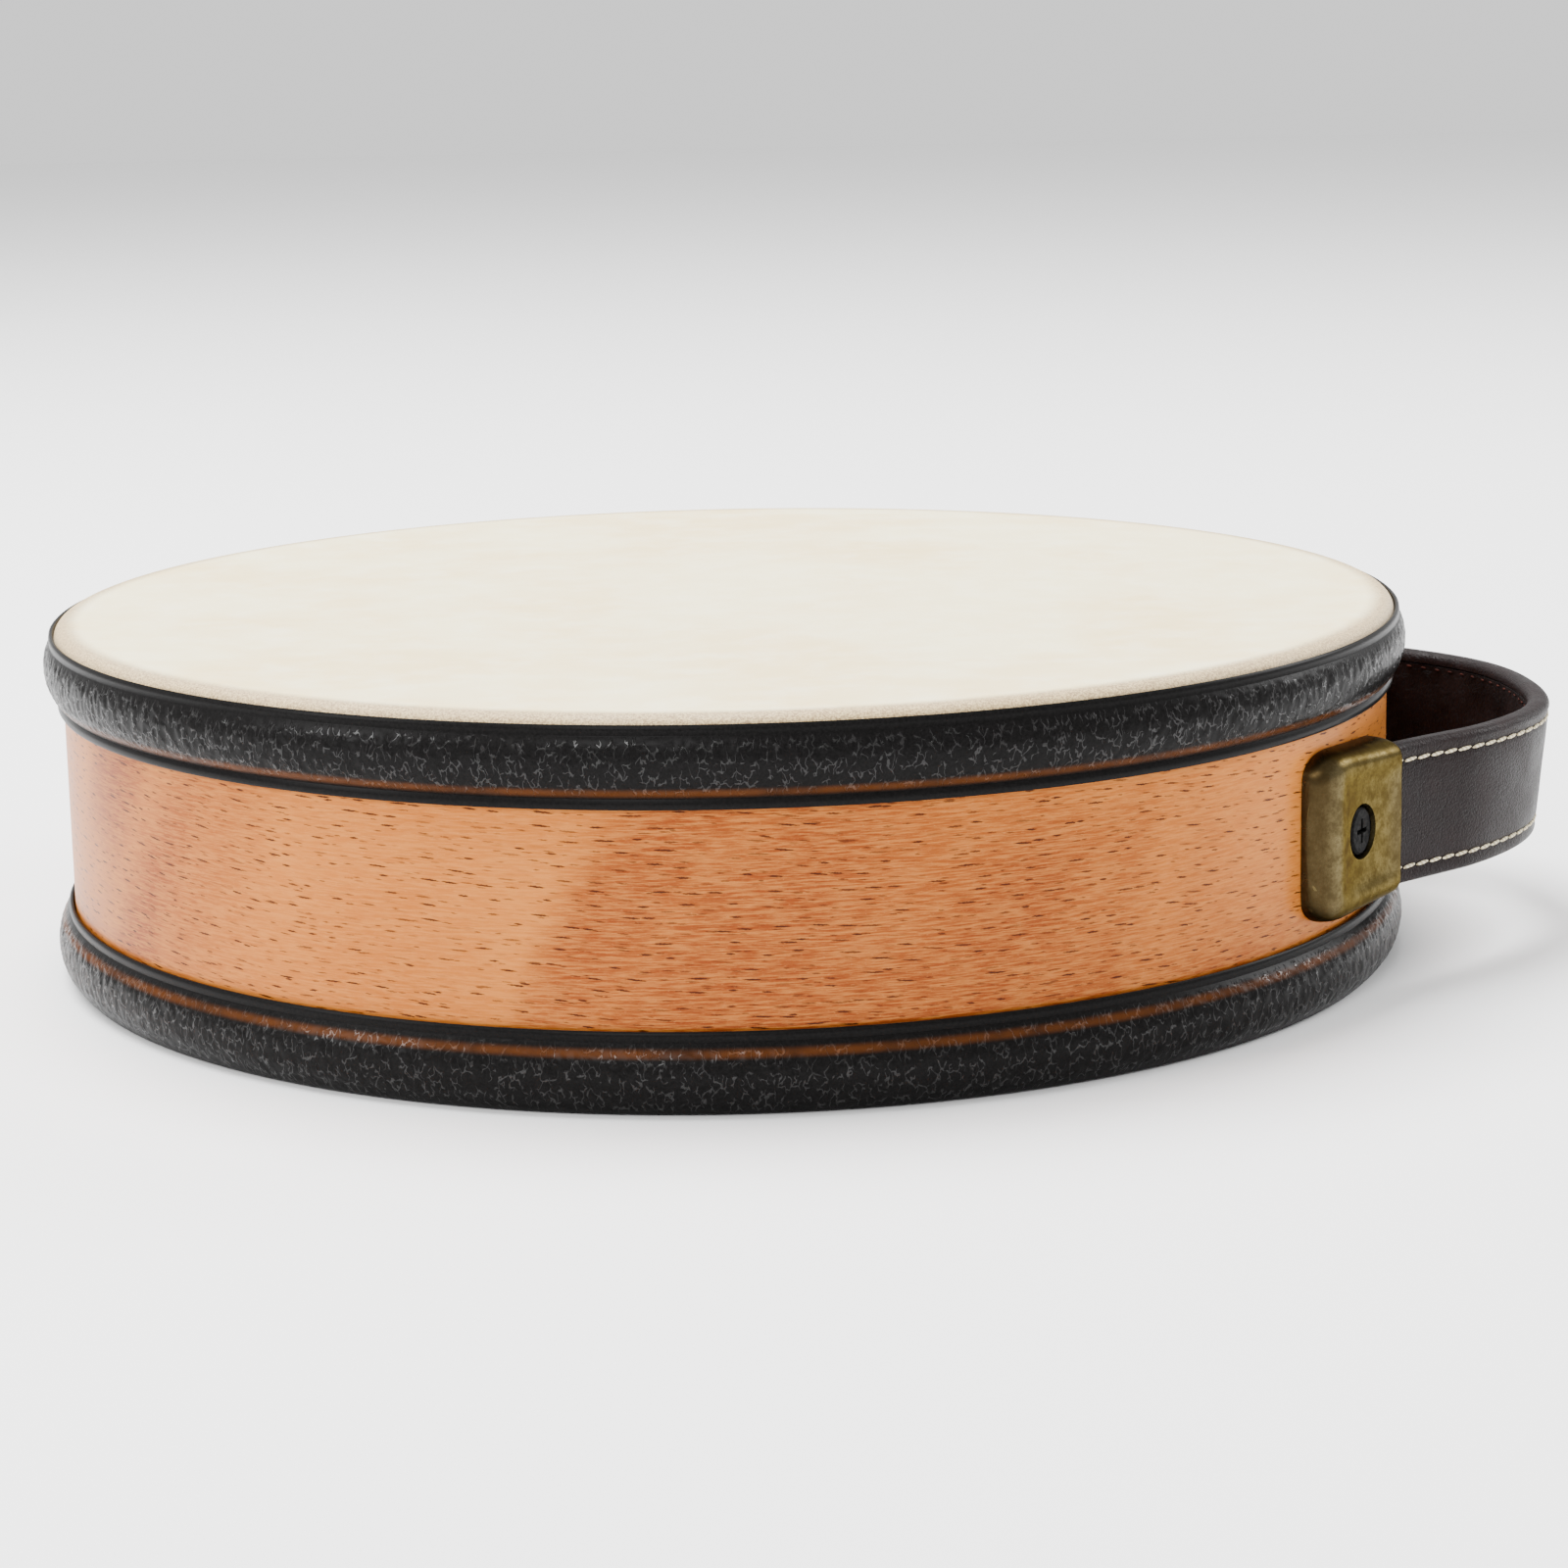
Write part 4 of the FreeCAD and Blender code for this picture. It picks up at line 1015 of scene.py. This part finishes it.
brown_dark = (0.0062, 0.0034, 0.0034, 1)
brown_light = (0.0106, 0.0062, 0.0062, 1)
lining_dark = (0.0030, 0.0012, 0.0011, 1)
lining_light = (0.0062, 0.0026, 0.0023, 1)
give_finish(leather_strip, leather_finish("strap_outer_leather", brown_dark, brown_light,
                                          0.42 * MM, 0.28, 0.36, 0.46))
give_finish(lining_strip, leather_finish("strap_lining_leather", lining_dark, lining_light,
                                         0.8 * MM, 0.3, 0.42, 0.55))

fibre_brown = (0.22, 0.16, 0.10, 1)
fibre_pale = (0.42, 0.33, 0.23, 1)
felt_depth = 0.05 * MM
fibre, tree, shader = new_finish("pressed_fibre")
where = object_places(tree)
matted = noise(tree, where, 0.7 * MM, detail=4.0, roughness=0.7)
feed(tree, shader, Base_Color=mix_colours(tree, matted, fibre_brown, fibre_pale),
     Roughness=ramp(tree, matted, 0.3, 0.7, 0.8, 0.95))
roughen(tree, shader, 0.3, felt_depth, matted)
give_finish(core_strip, fibre)

# Two rows of stitching: cream twisted thread on the outer face, and the russet under-thread inside
stitch_pitch = 3.7 * MM
stitch_reach = 3.35 * MM
thread_radius = 0.35 * MM
stitch_tilt = math.radians(5)
stitch_count = int((strap_length - 2 * tail_inside) / stitch_pitch) - 1
first_stitch = (strap_length - stitch_pitch * (stitch_count - 1)) / 2


def stitch_row(name, level, face, thread, reach, lean):
    """One stitch is rounded, tipped and sunk at its ends, then repeated along the flat strap."""
    deselect_all()
    bpy.ops.mesh.primitive_uv_sphere_add(segments=8, ring_count=8, radius=1, location=(0, 0, 0))
    piece = name_piece(name)
    bpy.ops.object.mode_set(mode="EDIT")
    bpy.ops.mesh.select_all(action="SELECT")
    bpy.ops.transform.rotate(value=math.pi / 2, orient_axis="Y", center_override=(0, 0, 0))
    bpy.ops.transform.resize(value=(reach / 2, thread * 0.9, thread))
    bpy.ops.transform.rotate(value=lean, orient_axis="Y", center_override=(0, 0, 0))
    bpy.ops.transform.translate(value=(first_stitch, -face, level))
    bpy.ops.object.mode_set(mode="OBJECT")
    repeat = piece.modifiers.new("row", "ARRAY")
    repeat.count = stitch_count
    repeat.use_relative_offset = False
    repeat.use_constant_offset = True
    repeat.constant_offset_displace = (stitch_pitch, 0, 0)
    bpy.ops.object.modifier_apply(modifier=repeat.name)
    bend_round(piece)
    return piece


# The twist of the thread, shared by the cream and the russet thread: slanting plies with fluff on them
ply_group, _, ply_end = new_group("twisted_plies", [],
                                  [("Ply", "NodeSocketFloat"), ("Fluff", "NodeSocketFloat")])
where = object_places(ply_group)
plies = add_node(ply_group, "ShaderNodeTexWave", {"wave_type": "BANDS", "bands_direction": "DIAGONAL"},
                 Vector=where, Scale=1 / (2.6 * MM), Distortion=1.5, Detail=1.0)
ply_group.links.new(plies.outputs["Fac"], ply_end.inputs["Ply"])
ply_group.links.new(noise(ply_group, where, 0.2 * MM), ply_end.inputs["Fluff"])
ply_relief = 0.12 * MM


def thread_finish(name, dark, light):
    """Twisted thread: fine slanting plies, with painted shade in the grooves of the twist."""
    material, tree, shader = new_finish(name)
    twist = add_node(tree, "ShaderNodeGroup", {"node_tree": ply_group}).outputs
    feed(tree, shader, Base_Color=mix_colours(tree, twist["Ply"], dark, light),
         Roughness=ramp(tree, twist["Fluff"], 0.3, 0.7, 0.6, 0.85))
    roughen(tree, shader, 0.6, ply_relief, twist["Ply"])
    keep_even(shader, Specular_IOR_Level=0.1)
    return material


# the darker twist colours are painted shade in the grooves between the plies
cream_groove_shade = (0.40, 0.33, 0.20, 1)
cream_ply = (0.80, 0.72, 0.52, 1)
russet_groove_shade = (0.014, 0.003, 0.002, 1)
russet_ply = (0.05, 0.011, 0.007, 1)
cream = thread_finish("cream_thread", cream_groove_shade, cream_ply)
russet = thread_finish("russet_thread", russet_groove_shade, russet_ply)
top_thread = (half_thick - 0.22 * MM, thread_radius, stitch_reach)
under_thread = (-half_thick + 0.02 * MM, 0.2 * MM, 1.3 * MM)
rows = []
for name, level, (face, thread, reach), finish, node in (
        ("upper_stitch_row", stitch_level, top_thread, cream, "upper_stitching"),
        ("lower_stitch_row", -stitch_level, top_thread, cream, "lower_stitching"),
        ("upper_under_thread", stitch_level, under_thread, russet, None),
        ("lower_under_thread", -stitch_level, under_thread, russet, None)):
    row = stitch_row(name, level, face, thread, reach, stitch_tilt)
    give_finish(row, finish)
    if node:
        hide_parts(node)
    rows.append(row)

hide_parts("handle_leather", "front_tail_leather", "rear_tail_leather")
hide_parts("handle_core", "front_tail_core", "rear_tail_core")
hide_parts("handle_backing", "front_tail_backing", "rear_tail_backing")
bpy.data.objects.remove(strap_route, do_unlink=True)
for piece in [leather_strip, core_strip, lining_strip] + rows:
    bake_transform(piece)


# ------------------------------------------------------------------ stage, light and camera
# A pale table top and soft light from large overhead and side panels, as in a small product studio.
# The camera stands in front of the drum and looks a little down on it.
deselect_all()
floor_size = 8
bpy.ops.mesh.primitive_plane_add(size=floor_size, location=(0, 0, 0))
floor = name_piece("pale_floor")
bpy.ops.object.mode_set(mode="EDIT")
bpy.ops.mesh.subdivide(number_cuts=3)
bpy.ops.object.mode_set(mode="OBJECT")
paper_white = (0.9, 0.9, 0.9, 1)
pale, tree, shader = new_finish("pale_paper")
keep_even(shader, Base_Color=paper_white, Roughness=0.9)
give_finish(floor, pale)

world = bpy.data.worlds.new("pale_studio")
bpy.context.scene.world = world
world.use_nodes = True
keep_even(world.node_tree.nodes["Background"], Color=(1, 1, 1, 1), Strength=1.1)

drum_middle = Vector((0, 0, 30 * MM))


def panel_light(name, place, size, power):
    """A soft square panel that faces the drum."""
    deselect_all()
    bpy.ops.object.light_add(type="AREA", location=place)
    lamp = bpy.context.object
    lamp.name = name
    lamp.data.shape = "RECTANGLE"
    lamp.data.size = size[0]
    lamp.data.size_y = size[1]
    lamp.data.energy = power
    aim = drum_middle - Vector(place)
    lamp.rotation_euler = aim.to_track_quat("-Z", "Y").to_euler()


panel_light("overhead_panel", (-0.45, 0.35, 1.75), (1.5, 1.2), 120)
panel_light("left_panel", (-1.35, -0.55, 0.75), (0.5, 0.6), 13)
panel_light("right_panel", (1.35, 0.45, 0.75), (0.5, 0.6), 14)
panel_light("front_panel", (-0.6, -1.7, 1.2), (0.6, 0.5), 17)

camera_lens = 87.56
camera_place = (-22.8 * MM, -726.0 * MM, 178.7 * MM)
camera_turn = (78.36, 1.118, -2.871)
deselect_all()
bpy.ops.object.camera_add(location=camera_place, rotation=[math.radians(angle) for angle in camera_turn])
camera = bpy.context.object
camera.data.sensor_width = 36
camera.data.lens = camera_lens
camera.data.clip_start = 0.01
bpy.context.scene.camera = camera
